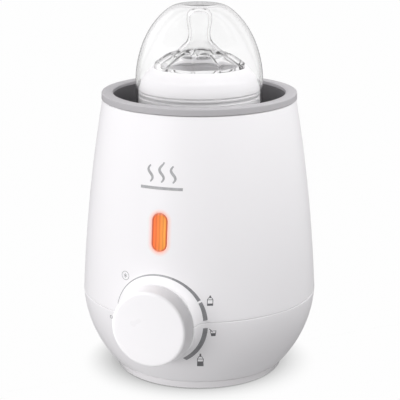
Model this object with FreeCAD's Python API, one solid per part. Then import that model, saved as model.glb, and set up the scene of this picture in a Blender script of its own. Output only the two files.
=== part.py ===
"""Electric bottle warmer with a feeding bottle standing in its water cup.

Frame: millimetres, +Z up. The origin is on the table, on the warmer's upright centre line.
The knob faces -Y. Shapes on the knob's axis are drawn upright and then laid over with forward().
"""

import FreeCAD, Part
import math
import os
from FreeCAD import Vector

# Outer shape of the casing, as radius and height
FOOT_RADIUS = 48.0
FOOT_EDGE_Z = 5.5
BOWL_MIDDLE = (60.5, 26.0)
SEAM_RADIUS = 64.5
SEAM_Z = 45.0
WALL_MIDDLE = (60.0, 100.0)
TOP_RADIUS = 52.5
TOP_Z = 151.5
CASING_WALL = 2.4
BASE_OPENING_RADIUS = 45.6
CLOSING_EDGE_ANGLE = 71.0

# Base
BASE_UNDERSIDE_Z = 0.8
BASE_FLOOR_Z = 3.2
FOOT_RING_INNER = 31.0
FOOT_RING_OUTER = 37.0
FOOT_RING_HEIGHT = 2.0

# Posts that take the four long casing screws
POST_CIRCLE = 42.0
POST_RADIUS = 3.2
POST_ANGLES = (45, 135, 225, 315)
UPPER_POST_TOP = 56.0
SCREW_RADIUS = 1.5

# Rim and water cup
MOUTH_RADIUS = 46.8
RIM_TOP_Z = 155.5
CUP_FLANGE_Z = 152.1
CUP_FLANGE_THICKNESS = 1.2
CUP_WALL = 1.4
CUP_SEAT_Z = 31.5
CUP_SEAT_RADIUS = 27.0
CUP_LOW_RADIUS = 35.0
CUP_BOSS_CIRCLE = 38.8
CUP_BOSS_ANGLES = (30, 150, 270)
CUP_BOSS_Z = 23.0

# Heater under the cup
PLATE_RADIUS = 33.5
PLATE_TOP_Z = 29.4
PLATE_THICKNESS = 1.0
ELEMENT_CIRCLE = 22.0
ELEMENT_RADIUS = 2.6
ELEMENT_GAP_DEG = 25.0

# Knob and thermostat; depths are distances in front of the warmer's centre line
KNOB_Z = 44.5
BOSS_FACE_DEPTH = 68.5
BOSS_FACE_RADIUS = 21.7
BOSS_HOLLOW_RADIUS = 19.3
BOSS_HOLLOW_DEPTH = 66.0
KNOB_BACK_DEPTH = 68.9
KNOB_FACE_DEPTH = 78.0
KNOB_BACK_RADIUS = 21.7
KNOB_FACE_RADIUS = 18.9
DISH_RADIUS = 18.2
DISH_DEPTH = 0.4
POINTER_ANGLE = 188.0
SHAFT_RADIUS = 3.0
SPINDLE_RADIUS = 2.0
BRACKET_DEPTH = 62.0
BRACKET_THICKNESS = 1.2
THERMOSTAT_RADIUS = 11.0
THERMOSTAT_BACK_DEPTH = 49.5
BRACKET_SCREW_CIRCLE = 15.5
BRACKET_SCREW_ANGLES = (40, 140)

# Indicator window
WINDOW_Z = 91.7
WINDOW_WIDTH = 8.1
WINDOW_HEIGHT = 20.0
LAMP_BOARD_DEPTH = 51.2
LAMP_SCREW_OFFSET = 15.0
LED_RADIUS = 2.5

# Cable gland at the back
GLAND_Z = 18.0
GLAND_BORE_RADIUS = 3.1
GLAND_BODY_RADIUS = 5.0
GLAND_SEAT_DEPTH = 52.0
GLAND_POCKET_RADIUS = 7.5

# Bottle
BOTTLE_BASE_Z = 31.6
BOTTLE_WALL = 1.8
NECK_RADIUS = 27.2
NECK_TOP_Z = 163.1
THREAD_LEAD = 4.5
RING_SLEEVE_RADIUS = 28.6
DOME_RADIUS = 34.5
DOME_WALL = 1.1
DOME_EDGE_Z = 146.9
DOME_SPRING_Z = 160.0
DOME_RISE = 45.5
DOME_TOP_Z = 202.3


def at(point):
    """A (radius, height) pair as a point in the XZ plane."""
    return Vector(point[0], 0, point[1])


def outline(start, *steps):
    """A closed wire. A step is the next point, or a (through, end) pair for an arc."""
    edges = []
    here = start
    for step in steps:
        if isinstance(step[0], tuple):
            through, end = step
            edges.append(Part.Arc(at(here), at(through), at(end)).toShape())
        else:
            end = step
            edges.append(Part.makeLine(at(here), at(end)))
        here = end
    if here != start:
        edges.append(Part.makeLine(at(here), at(start)))
    return Part.Wire(edges)


def turned_wire(wire):
    """The wire's area turned a full circle about Z, with its closing edge clear of other features."""
    face = Part.Face(wire)
    face.rotate(Vector(0, 0, 0), Vector(0, 0, 1), CLOSING_EDGE_ANGLE)
    return face.revolve(Vector(0, 0, 0), Vector(0, 0, 1), 360)


def turned(start, *steps):
    return turned_wire(outline(start, *steps))


def ball_end(radius, height):
    """The step that closes a rod's outline with a hemisphere on top."""
    slant = radius * math.sqrt(0.5)
    return (((slant, height + slant), (0, height + radius)),)


def ring(inner, outer, low, high):
    return turned((inner, low), (outer, low), (outer, high), (inner, high))


def rod(radius, low, high, x=0, y=0):
    return Part.makeCylinder(radius, high - low, Vector(x, y, low))


def block(x, y, z):
    """A box from three (low, high) pairs."""
    size = (x[1] - x[0], y[1] - y[0], z[1] - z[0])
    return Part.makeBox(*size, Vector(x[0], y[0], z[0]))


def forward(shape, height=KNOB_Z):
    """Lay a shape over: its Z becomes the depth in front of the centre line, its Y becomes up."""
    moved = shape.copy()
    moved.rotate(Vector(0, 0, 0), Vector(1, 0, 0), 90)
    moved.translate(Vector(0, 0, height))
    return moved


def backward(shape, height):
    """Lay a shape over the other way: its Z becomes the distance behind the centre line."""
    moved = shape.copy()
    moved.rotate(Vector(0, 0, 0), Vector(1, 0, 0), -90)
    moved.translate(Vector(0, 0, height))
    return moved


def turned_to(shape, angle):
    """A copy turned about Z, in degrees."""
    moved = shape.copy()
    moved.rotate(Vector(0, 0, 0), Vector(0, 0, 1), angle)
    return moved


def polar(radius, angle):
    turn = math.radians(angle)
    return radius * math.cos(turn), radius * math.sin(turn)


def upright_slot(width, height, low, high):
    """A prism with round ends, taller along Y, from low to high along Z."""
    half = (height - width) / 2
    middle = block((-width / 2, width / 2), (-half, half), (low, high))
    ends = [rod(width / 2, low, high, y=side * half) for side in (-1, 1)]
    return middle.multiFuse(ends)


def path_through(points, bend):
    """Straight runs joined by tangent arcs of the given radius."""
    edges = []
    here = Vector(*points[0])
    for before, corner, after in zip(points, points[1:], points[2:]):
        corner = Vector(*corner)
        back = (Vector(*before) - corner).normalize()
        ahead = (Vector(*after) - corner).normalize()
        half_turn = (math.pi - back.getAngle(ahead)) / 2
        reach = bend * math.tan(half_turn)
        start = corner + back * reach
        end = corner + ahead * reach
        inward = (back + ahead).normalize()
        centre = corner + inward * (bend / math.cos(half_turn))
        edges.append(Part.makeLine(here, start))
        edges.append(Part.Arc(start, centre - inward * bend, end).toShape())
        here = end
    edges.append(Part.makeLine(here, Vector(*points[-1])))
    return Part.Wire(edges)


def swept(path, radius):
    """A round bar along a path."""
    first = path.OrderedEdges[0]
    start = first.valueAt(first.FirstParameter)
    heading = first.tangentAt(first.FirstParameter)
    section = Part.Wire(Part.makeCircle(radius, start, heading))
    return path.makePipeShell([section], True, True)


def screw(radius, length, head_radius, head_height):
    """A pan-head screw: the head on top at the origin's upper side, the shank pointing down."""
    head = turned(
        (0, 0), (head_radius, 0), (head_radius, head_height * 0.5),
        (head_radius * 0.75, head_height), (0, head_height),
    )
    shank = rod(radius, -length, 0)
    arm = head_radius * 0.62
    cross = block((-arm, arm), (-0.3, 0.3), (head_height * 0.4, head_height))
    cross = cross.fuse(block((-0.3, 0.3), (-arm, arm), (head_height * 0.4, head_height)))
    return head.fuse(shank).cut(cross)


def placed(shape, x, y, z):
    moved = shape.copy()
    moved.translate(Vector(x, y, z))
    return moved


def thread(radius, depth, start_z, turns):
    """A single-start helical ridge standing out from a cylinder, or into a bore if depth is negative."""
    helix = Part.makeHelix(THREAD_LEAD, THREAD_LEAD * turns, radius)
    helix.translate(Vector(0, 0, start_z))
    root = radius - 0.3 * math.copysign(1, depth)
    crest = radius + depth
    profile = Part.makePolygon([
        Vector(root, 0, start_z - 0.75), Vector(crest, 0, start_z - 0.35),
        Vector(crest, 0, start_z + 0.35), Vector(root, 0, start_z + 0.75),
        Vector(root, 0, start_z - 0.75),
    ])
    return Part.Wire(helix.Edges).makePipeShell([profile], True, True)


def save(name, shape):
    """Write one sub-part, as one solid or a group of separate solids."""
    shape = shape.removeSplitter()
    if not shape.isValid() or not shape.Solids:
        raise ValueError(name + " is not a sound solid")
    shape.exportStep("parts/" + name + ".step")
    print(name, len(shape.Solids), round(shape.Volume))


# Casing ------------------------------------------------------------------

def inset(point, arc, distance):
    """The point on the arc moved towards its centre."""
    centre = arc.Center
    scale = (arc.Radius - distance) / arc.Radius
    return (centre.x + (point[0] - centre.x) * scale, centre.z + (point[1] - centre.z) * scale)


def casing_form(distance):
    """The warmer's outer form, drawn in by a distance."""
    low, seam, top = (FOOT_RADIUS, FOOT_EDGE_Z), (SEAM_RADIUS, SEAM_Z), (TOP_RADIUS, TOP_Z)
    bowl = Part.Arc(at(low), at(BOWL_MIDDLE), at(seam)).toShape().Curve
    wall = Part.Arc(at(seam), at(WALL_MIDDLE), at(top)).toShape().Curve
    low_in = inset(low, bowl, distance)
    bowl_in = inset(BOWL_MIDDLE, bowl, distance)
    seam_in = (SEAM_RADIUS - distance, SEAM_Z)
    wall_in = inset(WALL_MIDDLE, wall, distance)
    top_in = (TOP_RADIUS - distance, TOP_Z - distance)
    return turned(
        (0, low_in[1]), low_in, (bowl_in, seam_in), (wall_in, top_in), (0, top_in[1])
    )


def knob_boss():
    """The flared pedestal behind the knob."""
    return forward(turned(
        (0, 40), (29.0, 50.0), (25.0, 58.6), ((22.5, 62.8), (BOSS_FACE_RADIUS, BOSS_FACE_DEPTH)),
        (0, BOSS_FACE_DEPTH),
    ))


def casing_shell():
    """Both casings before the seam divides them."""
    shell = casing_form(0).fuse(knob_boss())
    hollow = casing_form(CASING_WALL)
    hollow = hollow.fuse(forward(rod(BOSS_HOLLOW_RADIUS, 40, BOSS_HOLLOW_DEPTH)))
    shell = shell.cut(hollow)
    shell = shell.cut(rod(BASE_OPENING_RADIUS, 0, SEAM_Z / 2))
    shell = shell.cut(rod(MOUTH_RADIUS + 1.8, SEAM_Z, TOP_Z + 1))
    shell = shell.cut(forward(rod(5.2, 50, 75)))
    return shell


def upper_casing():
    body = casing_shell().common(rod(90, SEAM_Z, TOP_Z + 1))
    body = body.fuse(ring(50.6, 51.4, TOP_Z - 1, TOP_Z + 1.1))
    inside = casing_form(CASING_WALL - 0.2)
    posts = []
    for angle in POST_ANGLES:
        x, y = polar(POST_CIRCLE, angle)
        rib = block((POST_CIRCLE, SEAM_RADIUS), (-1, 1), (SEAM_Z + 3, UPPER_POST_TOP))
        posts.append(rod(POST_RADIUS, SEAM_Z + 0.1, UPPER_POST_TOP, x, y))
        posts.append(turned_to(rib, angle).common(inside))
    for side in (-1, 1):
        post = rod(2.2, LAMP_BOARD_DEPTH, 62, y=side * LAMP_SCREW_OFFSET)
        posts.append(forward(post, WINDOW_Z).common(inside))
    body = body.multiFuse(posts)
    for angle in BRACKET_SCREW_ANGLES:
        x, y = polar(BRACKET_SCREW_CIRCLE, angle)
        body = body.fuse(forward(rod(2.6, BRACKET_DEPTH, BOSS_HOLLOW_DEPTH + 0.5, x, y)))
    for angle in POST_ANGLES:
        x, y = polar(POST_CIRCLE, angle)
        body = body.cut(rod(SCREW_RADIUS + 0.05, SEAM_Z - 1, UPPER_POST_TOP - 2, x, y))
    for side in (-1, 1):
        pilot = rod(1.15, LAMP_BOARD_DEPTH - 1, 56, y=side * LAMP_SCREW_OFFSET)
        body = body.cut(forward(pilot, WINDOW_Z))
    for angle in BRACKET_SCREW_ANGLES:
        x, y = polar(BRACKET_SCREW_CIRCLE, angle)
        body = body.cut(forward(rod(1.15, BRACKET_DEPTH - 1, BOSS_HOLLOW_DEPTH + 1.2, x, y)))
    window = upright_slot(WINDOW_WIDTH + 0.15, WINDOW_HEIGHT + 0.15, 50, 70)
    return body.cut(forward(window, WINDOW_Z))


def lower_casing():
    body = casing_shell().common(rod(90, 0, SEAM_Z))
    inside = casing_form(CASING_WALL - 0.2)
    lip = ring(60.3, 61.9, SEAM_Z - 4, SEAM_Z + 2.3).fuse(ring(60.3, 63, SEAM_Z - 4, SEAM_Z))
    lip = lip.cut(rod(60.3, 0, 99)).common(rod(62.3, 0, 99))
    body = body.fuse(lip.cut(forward(rod(BOSS_HOLLOW_RADIUS, 40, 70))))
    for angle in POST_ANGLES:
        x, y = polar(POST_CIRCLE, angle)
        rib = block((POST_CIRCLE, SEAM_RADIUS), (-1, 1), (9.2, SEAM_Z - 2))
        body = body.fuse(turned_to(rib, angle).common(inside))
        body = body.fuse(rod(POST_RADIUS, 9.2, SEAM_Z - 0.1, x, y))
        body = body.cut(rod(SCREW_RADIUS + 0.3, 8, SEAM_Z + 1, x, y))
    seat = backward(rod(GLAND_POCKET_RADIUS + 2, GLAND_SEAT_DEPTH - 4, 65), GLAND_Z)
    body = body.fuse(seat.common(casing_form(0)))
    body = body.cut(backward(rod(GLAND_POCKET_RADIUS, GLAND_SEAT_DEPTH, 65), GLAND_Z))
    return body.cut(backward(rod(GLAND_BODY_RADIUS + 0.05, 40, 65), GLAND_Z))


def base_cover():
    body = turned(
        (0, BASE_UNDERSIDE_Z), (44.7, BASE_UNDERSIDE_Z),
        ((45.6, 1.15), (46.0, 2.1)), (47.3, FOOT_EDGE_Z - 0.2),
        (45.3, FOOT_EDGE_Z - 0.2), (45.3, 8.2), (43.1, 8.2), (43.1, BASE_FLOOR_Z), (0, BASE_FLOOR_Z),
    )
    for angle in POST_ANGLES:
        x, y = polar(POST_CIRCLE, angle)
        body = body.fuse(rod(4.4, BASE_UNDERSIDE_Z, 9.1, x, y).common(rod(45.3, 0, 20)))
        body = body.cut(rod(3.3, 0, 3.4, x, y))
        body = body.cut(rod(SCREW_RADIUS + 0.2, 0, 20, x, y))
    for side in (-1, 1):
        body = body.fuse(rod(2.5, BASE_FLOOR_Z - 1, 14.8, side * 6.5, 42.5))
        body = body.cut(rod(1.15, 7, 16, side * 6.5, 42.5))
    body = body.cut(rod(1.15, 2, 6, y=32))
    groove = ring(FOOT_RING_INNER - 0.1, FOOT_RING_OUTER + 0.1, 0, FOOT_RING_HEIGHT)
    return body.cut(groove)


def foot_ring():
    return turned(
        (FOOT_RING_INNER + 0.5, 0), (FOOT_RING_OUTER - 0.5, 0), (FOOT_RING_OUTER, 0.5),
        (FOOT_RING_OUTER, FOOT_RING_HEIGHT), (FOOT_RING_INNER, FOOT_RING_HEIGHT),
        (FOOT_RING_INNER, 0.5),
    )


def casing_screws():
    """Four long screws from below, head down in the base cover."""
    pin = screw(SCREW_RADIUS, 50.0, 3.0, 1.9)
    pin.rotate(Vector(0, 0, 0), Vector(1, 0, 0), 180)
    screws = [placed(pin, *polar(POST_CIRCLE, angle), 3.4) for angle in POST_ANGLES]
    return Part.makeCompound(screws)


# Rim and water cup ---------------------------------------------------------

def rim_ring():
    """The crowned grey ring that closes the gap between casing and cup."""
    under = CUP_FLANGE_Z + CUP_FLANGE_THICKNESS + 0.1
    low = TOP_Z + 0.2
    return turned(
        (51.5, low), (53.0, low), (52.9, 153.9), ((52.3, 155.1), (50.9, RIM_TOP_Z)),
        (48.6, RIM_TOP_Z), ((47.3, 154.9), (MOUTH_RADIUS, under + 0.2)), (MOUTH_RADIUS, under),
        (51.5, under),
    )


def cup_gasket():
    return ring(48.8, 50.4, TOP_Z, CUP_FLANGE_Z)


def water_cup():
    flange_top = CUP_FLANGE_Z + CUP_FLANGE_THICKNESS
    low = CUP_SEAT_Z - 1.5
    out = CUP_LOW_RADIUS + CUP_WALL
    body = turned(
        (CUP_SEAT_RADIUS, low), (out, low), (out + 0.4, 62), (45.6, 80.6),
        (MOUTH_RADIUS + CUP_WALL, CUP_FLANGE_Z), (50.4, CUP_FLANGE_Z), (50.4, flange_top),
        (MOUTH_RADIUS, flange_top), (44.2, 81), (CUP_LOW_RADIUS + 0.4, 62.6),
        (CUP_LOW_RADIUS, 33.5), ((34.4, 32.1), (33.0, CUP_SEAT_Z)), (CUP_SEAT_RADIUS, CUP_SEAT_Z),
    )
    for angle in CUP_BOSS_ANGLES:
        x, y = polar(CUP_BOSS_CIRCLE, angle)
        boss = rod(3, CUP_BOSS_Z, 38, x, y).cut(rod(CUP_LOW_RADIUS + 0.3, 0, 60))
        body = body.fuse(boss)
        body = body.cut(rod(1.15, CUP_BOSS_Z - 1, 34, x, y))
    return body


def plate_seal():
    """Silicone ring between the cup's lower flange and the heating plate."""
    return ring(CUP_SEAT_RADIUS + 0.5, PLATE_RADIUS - 0.2, PLATE_TOP_Z, CUP_SEAT_Z - 1.5)


def heating_plate():
    low = PLATE_TOP_Z - PLATE_THICKNESS
    return turned((0, low), (PLATE_RADIUS, low), (PLATE_RADIUS, PLATE_TOP_Z), (0, PLATE_TOP_Z))


def element_path():
    """A horseshoe with both ends bent down at the back."""
    level = PLATE_TOP_Z - PLATE_THICKNESS - ELEMENT_RADIUS
    bend = 5.0
    ends = []
    for side in (1, -1):
        angle = 90 - side * ELEMENT_GAP_DEG
        x, y = polar(ELEMENT_CIRCLE, angle)
        turn = math.radians(angle)
        along = Vector(-math.sin(turn), math.cos(turn), 0) * side
        start = Vector(x, y, level)
        slant = math.sqrt(0.5)
        through = start + along * bend * slant - Vector(0, 0, bend * (1 - slant))
        corner = start + along * bend - Vector(0, 0, bend)
        tip = corner - Vector(0, 0, 6)
        ends.append((start, through, corner, tip))
    right, left = ends
    front = Vector(0, -ELEMENT_CIRCLE, level)
    return Part.Wire([
        Part.makeLine(right[3], right[2]),
        Part.Arc(right[2], right[1], right[0]).toShape(),
        Part.Arc(right[0], front, left[0]).toShape(),
        Part.Arc(left[0], left[1], left[2]).toShape(),
        Part.makeLine(left[2], left[3]),
    ])


def heating_element():
    return swept(element_path(), ELEMENT_RADIUS - 0.02)


def element_tip(side):
    """Where an end of the heating element points straight down."""
    edge = element_path().OrderedEdges[0 if side > 0 else -1]
    points = (edge.valueAt(edge.FirstParameter), edge.valueAt(edge.LastParameter))
    return min(points, key=lambda point: point.z)


def heater_clamp():
    """Three-armed steel spider that presses the element and the plate up."""
    low, high = CUP_BOSS_Z - 1.2, CUP_BOSS_Z
    body = ring(12, 30, low, high)
    for angle in CUP_BOSS_ANGLES:
        arm = block((28, CUP_BOSS_CIRCLE), (-3.2, 3.2), (low, high))
        arm = arm.fuse(rod(3.2, low, high, x=CUP_BOSS_CIRCLE))
        body = body.fuse(turned_to(arm.cut(rod(1.4, 0, 60, x=CUP_BOSS_CIRCLE)), angle))
    for side in (-1, 1):
        tip = element_tip(side)
        body = body.cut(rod(ELEMENT_RADIUS + 1.8, 0, 60, tip.x, tip.y))
    return body


def heater_screws():
    pin = screw(1.1, 9.0, 2.2, 1.5)
    pin.rotate(Vector(0, 0, 0), Vector(1, 0, 0), 180)
    spots = [polar(CUP_BOSS_CIRCLE, angle) for angle in CUP_BOSS_ANGLES]
    return Part.makeCompound([placed(pin, x, y, CUP_BOSS_Z - 1.25) for x, y in spots])


def thermal_fuse():
    body = Part.makeCylinder(1.9, 11, Vector(-5.5, 0, 26.4), Vector(1, 0, 0))
    leads = Part.makeCylinder(0.5, 17, Vector(-8.5, 0, 26.4), Vector(1, 0, 0))
    return body.fuse(leads)


def fuse_clip():
    """Spring strip across the clamp with a saddle under the fuse."""
    strip = block((-2, 2), (-15, 15), (CUP_BOSS_Z + 0.02, CUP_BOSS_Z + 0.52))
    saddle = block((-2, 2), (-2.6, 2.6), (CUP_BOSS_Z + 0.3, 26.2))
    return strip.fuse(saddle.cut(Part.makeCylinder(1.95, 12, Vector(-6, 0, 26.4), Vector(1, 0, 0))))


def sensor_probe():
    """Thermostat bulb lying against the underside of the heating plate."""
    return Part.makeCylinder(2.1, 14, Vector(-7, -28.5, 26.2), Vector(1, 0, 0))


def capillary_tube():
    route = ((-7, -28.5, 26.2), (-14, -28.5, 26.2), (-14, -44, 26.2), (-7, -55, 26.2), (-7, -55, 36))
    return swept(path_through(route, 3.0), 0.8)


# Thermostat and knob -------------------------------------------------------

def thermostat_body():
    """Round switch body with a threaded neck; its square guide keeps the adjuster from turning."""
    front = BRACKET_DEPTH - BRACKET_THICKNESS
    body = rod(THERMOSTAT_RADIUS, THERMOSTAT_BACK_DEPTH + 1.5, front).fuse(rod(4.5, front, 64.6))
    guide = block((-4.6, 4.6), (-4.6, 4.6), (THERMOSTAT_BACK_DEPTH + 1.5, front - 1.5))
    body = body.cut(guide).cut(rod(SHAFT_RADIUS + 0.05, 50, 66))
    body = forward(body)
    return body.cut(rod(0.85, 30, 38, x=-7, y=-55))


def thermostat_cover():
    disc = rod(THERMOSTAT_RADIUS, THERMOSTAT_BACK_DEPTH, THERMOSTAT_BACK_DEPTH + 1.5)
    for side in (-1, 1):
        slit = block((side * 7 - 2.5, side * 7 + 2.5), (-5.5, -4.5), (45, 55))
        disc = disc.cut(slit)
    return forward(disc)


def thermostat_terminals():
    tabs = []
    for side in (-1, 1):
        tab = block((side * 7 - 2.4, side * 7 + 2.4), (-5.4, -4.6), (43.5, THERMOSTAT_BACK_DEPTH + 1.5))
        tabs.append(forward(tab.cut(block((side * 7 - 0.6, side * 7 + 0.6), (-6, -4), (44.8, 46)))))
    return Part.makeCompound(tabs)


def thermostat_bracket():
    back = BRACKET_DEPTH - BRACKET_THICKNESS
    plate = rod(18.2, back, BRACKET_DEPTH).cut(rod(4.55, 40, 70))
    plate = plate.cut(block((-20, 20), (-20, -12.5), (50, 70)))
    for angle in BRACKET_SCREW_ANGLES:
        plate = plate.cut(rod(1.4, 50, 70, *polar(BRACKET_SCREW_CIRCLE, angle)))
    return forward(plate)


def thermostat_nut():
    """Hexagon nut on the neck, in front of the bracket."""
    corners = [Vector(*polar(6.6, angle), BRACKET_DEPTH + 0.02) for angle in range(0, 361, 60)]
    hexagon = Part.Face(Part.makePolygon(corners)).extrude(Vector(0, 0, 2.2))
    return forward(hexagon.cut(rod(4.55, 50, 70)))


def thermostat_screws():
    pin = screw(1.1, 5.0, 2.0, 1.3)
    pin.rotate(Vector(0, 0, 0), Vector(1, 0, 0), 180)
    depth = BRACKET_DEPTH - BRACKET_THICKNESS - 0.02
    spots = [polar(BRACKET_SCREW_CIRCLE, angle) for angle in BRACKET_SCREW_ANGLES]
    return Part.makeCompound([forward(placed(pin, x, y, depth)) for x, y in spots])


def thermostat_shaft():
    """Spindle inside the switch, a retaining collar, and a D-shaped end for the knob."""
    shaft = rod(SPINDLE_RADIUS, 51.6, 60).fuse(rod(3.8, 58.2, 59.0))
    shaft = shaft.fuse(rod(SHAFT_RADIUS, 58.6, 75.3))
    flat = block((-4, 4), (2.2, 4), (69.2, 76))
    return forward(shaft.cut(flat))


def adjuster_nut():
    """Square nut that the spindle moves along its guide."""
    body = block((-4.5, 4.5), (-4.5, 4.5), (53.8, 57.2)).cut(rod(SPINDLE_RADIUS + 0.05, 50, 60))
    return forward(body.fuse(block((-1.2, 1.2), (-4.5, -3.0), (52.2, 54))))


def knob_form():
    """The knob's outside: a tapered skirt, a soft edge and a slightly dished face."""
    ball = (DISH_RADIUS**2 + DISH_DEPTH**2) / (2 * DISH_DEPTH)
    low = KNOB_FACE_DEPTH - DISH_DEPTH
    halfway = low + ball - math.sqrt(ball**2 - (DISH_RADIUS / 2) ** 2)
    return turned(
        (0, KNOB_BACK_DEPTH), (KNOB_BACK_RADIUS, KNOB_BACK_DEPTH), (20.3, 76.3),
        ((19.95, 77.4), (KNOB_FACE_RADIUS, KNOB_FACE_DEPTH)), (DISH_RADIUS, KNOB_FACE_DEPTH),
        ((DISH_RADIUS / 2, halfway), (0, low)),
    )


def pointer_bar(margin):
    """The bar let into the skirt, grown by a margin for its slot."""
    bar = block((19.6 - margin, 23), (-0.8 - margin, 0.8 + margin), (70.4 - margin, 75.8 + margin))
    return turned_to(bar, POINTER_ANGLE)


def control_knob():
    hollow = turned((0, KNOB_BACK_DEPTH - 1), (19.7, KNOB_BACK_DEPTH - 1), (18.5, 75.7), (0, 75.7))
    knob = knob_form().cut(hollow)
    ribs = [turned_to(block((5, 19.2), (-0.6, 0.6), (71, 76)), angle) for angle in (45, 135, 225, 315)]
    knob = knob.multiFuse([rod(6, 70, 76)] + ribs)
    bore = rod(SHAFT_RADIUS + 0.05, 65, 75.5).cut(block((-4, 4), (2.75, 4), (65, 76)))
    knob = knob.cut(bore)
    return forward(knob.cut(pointer_bar(0.05)))


def knob_pointer():
    return forward(pointer_bar(0).common(knob_form()))


def knob_clip():
    """Leaf spring between the shaft's flat and the knob's bore."""
    return forward(block((-1.2, 1.2), (2.25, 2.7), (70.4, 75)))


# Indicator -----------------------------------------------------------------

def indicator_lens():
    """Clear plug filling the window, with a flange behind the casing wall."""
    plug = forward(upright_slot(WINDOW_WIDTH, WINDOW_HEIGHT, 50, 70), WINDOW_Z)
    flange = forward(upright_slot(11.4, 23.4, 50, 70), WINDOW_Z)
    plug = plug.common(casing_form(0).cut(casing_form(CASING_WALL)))
    flange = flange.common(casing_form(CASING_WALL).cut(casing_form(CASING_WALL + 1.2)))
    return plug.fuse(flange)


def lamp_shroud():
    outer = upright_slot(10.4, 22.4, LAMP_BOARD_DEPTH + 0.02, 55.6)
    return forward(outer.cut(upright_slot(8.4, 20.4, 50, 70)), WINDOW_Z)


def lamp_board():
    board = block((-7, 7), (-18, 18), (LAMP_BOARD_DEPTH - 1.2, LAMP_BOARD_DEPTH))
    for side in (-1, 1):
        board = board.cut(rod(1.3, 45, 60, y=side * LAMP_SCREW_OFFSET))
    return forward(board, WINDOW_Z)


def indicator_leds():
    leds = []
    for side in (-1, 1):
        low = LAMP_BOARD_DEPTH + 0.02
        led = turned(
            (0, low), (2.9, low), (2.9, low + 0.8), (LED_RADIUS, low + 0.8),
            (LED_RADIUS, low + 1.8), *ball_end(LED_RADIUS, low + 1.8),
        )
        leds.append(forward(placed(led, 0, side * 5.0, 0), WINDOW_Z))
    return Part.makeCompound(leds)


def lamp_resistor():
    rear = LAMP_BOARD_DEPTH - 1.2
    return Part.makeCylinder(1.2, 6.4, Vector(3.2, -(rear - 1.22), WINDOW_Z - 3.2), Vector(0, 0, 1))


def lamp_screws():
    pin = screw(1.1, 4.6, 2.1, 1.3)
    pin.rotate(Vector(0, 0, 0), Vector(1, 0, 0), 180)
    depth = LAMP_BOARD_DEPTH - 1.22
    spots = [placed(pin, 0, side * LAMP_SCREW_OFFSET, depth) for side in (-1, 1)]
    return Part.makeCompound([forward(spot, WINDOW_Z) for spot in spots])


# Supply --------------------------------------------------------------------

def cord_gland():
    """Rubber bush in the rear wall with a hole for the supply lead."""
    body = turned(
        (GLAND_BORE_RADIUS, 47.0), (GLAND_BODY_RADIUS, 47.0), (GLAND_BODY_RADIUS, GLAND_SEAT_DEPTH),
        (7.0, GLAND_SEAT_DEPTH), (7.0, GLAND_SEAT_DEPTH + 1.6),
        ((6.0, 54.4), (5.4, 56.0)), (4.9, 60.0), (GLAND_BORE_RADIUS, 60.0),
    )
    return backward(body, GLAND_Z)


def cord_clamp():
    """Saddle over the lead's path, screwed to two posts on the base."""
    body = block((-9, 9), (40, 45), (14.9, 23.4))
    body = body.cut(block((-3.2, 3.2), (39, 46), (14, 21.2)))
    for side in (-1, 1):
        body = body.cut(rod(1.4, 14, 25, side * 6.5, 42.5))
        body = body.cut(rod(2.3, 20.8, 25, side * 6.5, 42.5))
    return body


def cord_clamp_screws():
    pin = screw(1.1, 12.0, 2.1, 1.5)
    return Part.makeCompound([placed(pin, side * 6.5, 42.5, 20.85) for side in (-1, 1)])


def terminal_block():
    body = block((-13, 13), (26, 38), (BASE_FLOOR_Z + 0.02, 12.5))
    for x in (-8, 8):
        body = body.cut(rod(1.7, 6, 14, x, 29.2)).cut(rod(1.7, 6, 14, x, 34.8))
        body = body.cut(Part.makeCylinder(1.6, 14, Vector(x, 25, 7.2), Vector(0, 1, 0)))
    return body.cut(rod(1.3, 0, 14, y=32)).cut(rod(2.4, 9.2, 14, y=32))


def terminal_screws():
    """The block's fixing screw and its four clamping screws."""
    fixing = placed(screw(1.1, 6.4, 2.1, 1.5), 0, 32, 9.25)
    clamping = [
        placed(screw(1.2, 2.2, 1.6, 1.2), x, y, 11.2) for x in (-8, 8) for y in (29.2, 34.8)
    ]
    return Part.makeCompound([fixing] + clamping)


WIRE_RADIUS = 1.0


def lead(*points):
    return swept(path_through(points, 4.0), WIRE_RADIUS)


def live_lead():
    """Terminal block to the thermostat's right tab."""
    return lead((8, 26, 7.2), (8, 12, 7.2), (14, -16, 8), (14, -42, 12), (7, -42.4, 24), (7, -42.4, 39.5))


def switched_lead():
    """Thermostat's left tab to the right end of the heating element."""
    tip = element_tip(1)
    return lead(
        (-7, -42.4, 39.5), (-7, -42.4, 15), (-2, -26, 11), (tip.x, 0, 9), (tip.x, tip.y, 9),
        (tip.x, tip.y, tip.z - 0.02),
    )


def neutral_lead():
    """Left end of the heating element back to the terminal block."""
    tip = element_tip(-1)
    return lead((tip.x, tip.y, tip.z - 0.02), (tip.x, tip.y, 7.2), (-8, 25.9, 7.2))


def lamp_lead():
    """Thermostat's right side up to the indicator board."""
    return lead((9.6, -44.4, 40.6), (14, -44.4, 50), (14, -47.5, 62), (5, -48.9, 72), (5, -48.95, 80))


# Feeding bottle ------------------------------------------------------------

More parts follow.
